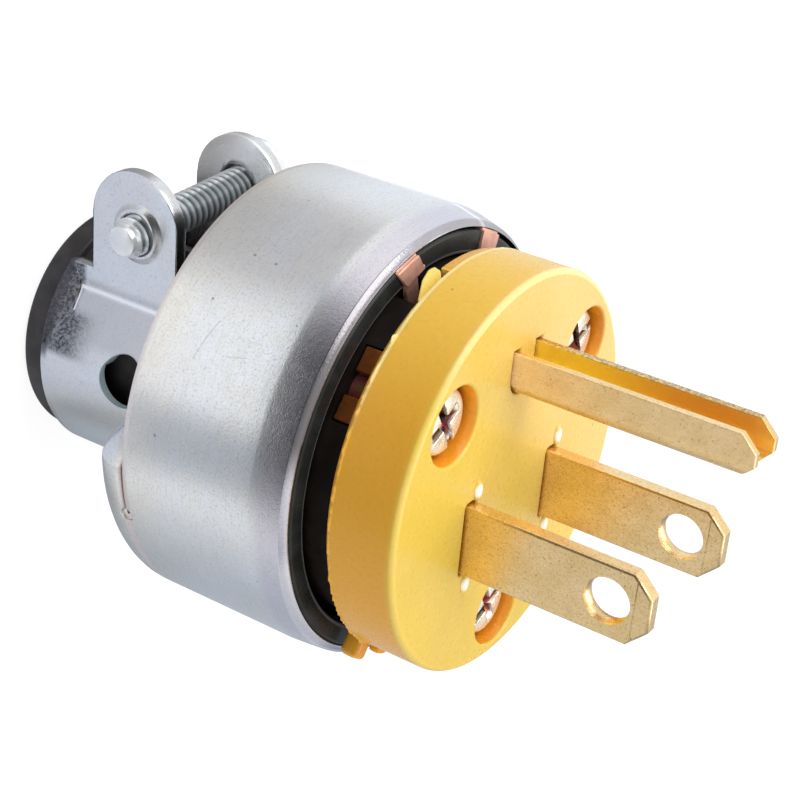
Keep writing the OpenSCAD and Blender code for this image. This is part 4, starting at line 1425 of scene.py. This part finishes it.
class PLUG_OT_strap(bpy.types.Operator):
    """Bends the copper strap's two ends over the liner's lip."""

    bl_idname = "plug.strap"
    bl_label = "Ground strap"

    def execute(self, context):
        top, thick = SHELL_HIGH.z, 0.5
        pieces = []
        for details in STRAP_ENDS:
            end = strap_end(*details, 0, top + 0.2, thick - 0.05, 1.9)
            soften(end, 0.13, 3, 50)
            middle = sum(details[0]) / 4
            fold = block("strap_fold", (17.9, -1.4, top - 4.6), (18.38, 1.4, top - 0.05), 0.08)
            arm = block("strap_arm", (9.5, -0.8, top - thick), (16.4, 0.8, top - 0.05), 0.08)
            pieces += [end, turned(fold, middle), turned(arm, middle - 2)]
        hub = block("strap_hub", (-6.3, 4.3, top - thick), (6.3, 12.6, top), 0.1)
        carve(hub, block("tail_cutter", (-3.65, 7.65, top - 2), (3.65, 8.5, top + 2)))
        strap = joined("copper_strap", *pieces, hub)
        settle(strap, finish_of("copper"), "copper", "ground_strap", angle=35, flat=True)
        return {"FINISHED"}


class PLUG_OT_clips(bpy.types.Operator):
    """Models one brass clip with its two legs and copies it behind each well."""

    bl_idname = "plug.clips"
    bl_label = "Screw clips"

    def execute(self, context):
        back, thick, wide, leg, low = FACE_BACK, 1.0, 6.2, 2.1, 36.15
        inner, leg_r = SCREW_CIRCLE - wide / 2, 14.65
        clip = block("left_clip", (inner, -wide / 2, back - thick), (leg_r + thick, wide / 2, back - 0.01))
        for side in (-1, 1):
            middle = side * (wide - leg) / 2
            foot_low = (leg_r, middle - leg / 2, low)
            foot_high = (leg_r + thick, middle + leg / 2, back - thick / 2)
            carve(clip, block("clip_leg", foot_low, foot_high), operation="UNION")
        carve(clip, rod("clip_cutter", 1.9, (SCREW_CIRCLE, 0, back - 3), (SCREW_CIRCLE, 0, back + 3), 48))
        soften(clip, 0.12, 2, 50)
        copies = [clip] + [copied(clip, f"{name}_clip") for name in WELL_NAMES[1:]]
        for piece, name, angle in zip(copies, WELL_NAMES, SCREW_ANGLES):
            turned(piece, angle)
            settle(piece, finish_of("clip"), "terminal_brass", f"screw_clip_{name}", angle=35, flat=True)
        return {"FINISHED"}


class PLUG_OT_inner_parts(bpy.types.Operator):
    """Gives the housing and terminals, whose CAD form is right, their finishes."""

    bl_idname = "plug.inner_parts"
    bl_label = "Inner parts"

    def execute(self, context):
        finishes = {"terminal_housing": "brown"}
        for wire in ("neutral", "line", "ground"):
            finishes[f"{wire}_clamp"] = "terminal"
            finishes[f"{wire}_screw"] = "terminal"
        for node, finish in finishes.items():
            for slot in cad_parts[node].material_slots:
                slot.material = finish_of(finish)
        return {"FINISHED"}


# Floor, light and camera


CAMERA_AT = Vector((-118.136, 72.518, 106.707)) * MM
CAMERA_RIGHT = (0.56040, 0.08133, 0.82422)
CAMERA_UP = (0.33127, 0.89009, -0.31306)
CAMERA_BACK = (-0.75909, 0.44848, 0.47186)
# Soft sectors round the plug: direction and half width in degrees, tone, share, reach in metres, on walls too
CARDS = (
    (25, 42, (0.8, 0.85, 0.92), 1.0, 9.0, False),
    (88, 42, (0.4, 0.39, 0.41), 1.0, 0.085, False),
    (278, 86, (0.29, 0.34, 0.42), 1.0, 9.0, True),
    (187, 21, (0.24, 0.26, 0.3), 1.0, 0.085, False),
    (342, 28, (0.3, 0.34, 0.36), 0.8, 9.0, False),
    (312, 17, (0.9, 0.92, 0.93), 0.6, 0.05, False),
)
DARK_SIDE = (-0.9, 0.44, 0.05)


class PLUG_OT_stage(bpy.types.Operator):
    """Sets the pale floor, the soft lights and the camera."""

    bl_idname = "plug.stage"
    bl_label = "Stage"

    def execute(self, context):
        settings = context.scene.plug.stage
        context.scene.view_settings.view_transform = "Standard"
        self.camera(context, settings)
        self.floor()
        self.world(context, settings)
        self.lamp("key_light", (0.05, 0.55, 0.5), settings.key, 0.5)
        self.lamp("front_light", (0.3, -0.05, 0.6), settings.fill, 0.5)
        self.lamp("bounce_light", (-0.1, -0.6, 0.25), settings.bounce, 0.5, mirrored=False)
        self.lamp("side_light", (-0.58, -0.14, 0.16), settings.side, 0.5, mirrored=False)
        self.lamp("top_light", (0.1, 0.6, 0.25), settings.top, 0.5, mirrored=False)
        return {"FINISHED"}

    def camera(self, context, settings):
        """The camera that the photo was fitted with."""
        data = bpy.data.cameras.new("photo_camera")
        data.lens, data.sensor_width = settings.lens, 36
        data.clip_start, data.clip_end = 0.005, 20
        camera = bpy.data.objects.new("photo_camera", data)
        context.scene.collection.objects.link(camera)
        turn = Matrix((CAMERA_RIGHT, CAMERA_UP, CAMERA_BACK)).transposed()
        camera.matrix_world = Matrix.Translation(CAMERA_AT) @ turn.to_4x4()
        context.scene.camera = camera

    def floor(self):
        """A pale round floor, with soft grey sectors that only mirror rays see."""
        clear_selection()
        bpy.ops.mesh.primitive_circle_add(vertices=96, radius=4, fill_type="NGON")
        floor = named("pale_floor")
        f = Finish("pale_floor")
        here = f.node("TexCoord", out=3)
        away = f.node("VectorMath", {"operation": "LENGTH"}, {0: here}, out=1)
        aim = f.node("VectorMath", {"operation": "NORMALIZE"}, {0: here})
        tone = (1.0, 1.0, 1.0)
        for turn, width, grey, depth, limit, _ in CARDS:
            share = f.sector(aim, turn, width) * f.span(away, limit * 1.25, limit)
            tone = f.blend(tone, grey, share * depth)
        near = f.span(away, 0.056, 0.028)
        beside = near * f.facing(aim, (-0.97, 0.25, 0), 0.55, 0.9)
        tone = f.blend(tone, (0.78, 0.84, 1.0), beside)
        under = near * f.facing(aim, (0.1, -1, 0), 0.6, 0.95)
        far = f.span(away, 0.08, 0.1) * f.facing(aim, DARK_SIDE, 0.35, 0.95)
        camera, glossy, through = (f.node("LightPath", out=i) for i in (0, 3, 6))
        mirrored = glossy * (0.8 - near * 0.5 + beside * 0.3 + under * 0.25) * (1 - far * 0.94)
        strength = camera.math("MAXIMUM", camera, through) * (0.85 + far * 0.15) + mirrored
        pale = f.node("BsdfDiffuse", None, {"Color": f.blend((0.22, 0.22, 0.22), (0.03, 0.03, 0.03), far)})
        glow = f.node("Emission", None, {"Color": f.blend((1, 1, 1), tone, glossy), "Strength": strength})
        both = f.node("AddShader", None, {0: pale, 1: glow})
        out = next(n for n in f.tree.nodes if n.type == "OUTPUT_MATERIAL")
        f.tree.links.new(both.socket, out.inputs["Surface"])
        f.tree.nodes.remove(f.shader)
        floor.data.materials.append(f.material)

    def world(self, context, settings):
        """An even pale room, white to the camera and dark behind the camera in mirror rays."""
        world = bpy.data.worlds.new("pale_room")
        context.scene.world = world
        world.use_nodes = True
        w = Nodes(world.node_tree)
        back = next(n for n in w.tree.nodes if n.type == "BACKGROUND")
        aim = w.node("VectorMath", {"operation": "NORMALIZE"}, {0: w.node("TexCoord", out=0)})
        camera, glossy = (w.node("LightPath", out=i) for i in (0, 3))
        low = w.span(w.parts(aim)[2], 0.95, 0.5)
        dark = w.facing(aim, DARK_SIDE, 0.35, 0.95) * low
        tone = (1.0, 1.0, 1.0)
        for turn, width, grey, depth, _, tall in CARDS:
            if tall:
                tone = w.blend(tone, grey, w.sector(aim, turn, width) * low * glossy * depth)
        even = settings.world
        strength = even + camera * (1 - even) + glossy * (0.95 - even - dark * 0.87)
        w.tree.links.new(tone.socket, back.inputs["Color"])
        w.tree.links.new(strength.socket, back.inputs["Strength"])

    def lamp(self, name, place, power, size, mirrored=True):
        """A large soft area light aimed at the plug."""
        data = bpy.data.lights.new(name, "AREA")
        data.energy, data.size = power, size
        lamp = bpy.data.objects.new(name, data)
        bpy.context.scene.collection.objects.link(lamp)
        aim = Vector((0, 0, 0.03)) - Vector(place)
        lamp.location = place
        lamp.rotation_mode = "QUATERNION"
        lamp.rotation_quaternion = aim.to_track_quat("-Z", "Y")
        lamp.visible_glossy = mirrored


OPERATORS = (PLUG_OT_stage, PLUG_OT_shell, PLUG_OT_bushing, PLUG_OT_clamp_screw, PLUG_OT_face,
             PLUG_OT_face_screws, PLUG_OT_clips, PLUG_OT_blades, PLUG_OT_ground_prong, PLUG_OT_liner,
             PLUG_OT_strap, PLUG_OT_inner_parts)


class PLUG_PT_panel(bpy.types.Panel):
    """Lists the settings and the operators."""

    bl_idname = "PLUG_PT_panel"
    bl_label = "Armoured plug"
    bl_space_type = "VIEW_3D"
    bl_region_type = "UI"
    bl_category = "Plug"

    def draw(self, context):
        plug = context.scene.plug
        for group in (plug.shell, plug.face, plug.prongs, plug.screws, plug.finish, plug.stage):
            box = self.layout.box()
            for key in group.bl_rna.properties.keys():
                if key not in ("rna_type", "name"):
                    box.prop(group, key)
        for operator in OPERATORS:
            self.layout.operator(operator.bl_idname)


CLASSES = (ShellSizes, FaceSizes, ProngSizes, ScrewSizes, FinishColours, StageSettings, PlugSettings,
           *OPERATORS, PLUG_PT_panel)


def register():
    """Registers the classes and the settings."""
    for cls in CLASSES:
        bpy.utils.register_class(cls)
    bpy.types.Scene.plug = PointerProperty(type=PlugSettings)


def unregister():
    """Removes the settings and the classes."""
    del bpy.types.Scene.plug
    for cls in reversed(CLASSES):
        bpy.utils.unregister_class(cls)


def main():
    """Builds every piece in order."""
    register()
    for operator in OPERATORS:
        group, name = operator.bl_idname.split(".")
        getattr(getattr(bpy.ops, group), name)()
    clear_selection()


if __name__ == "__main__":
    main()
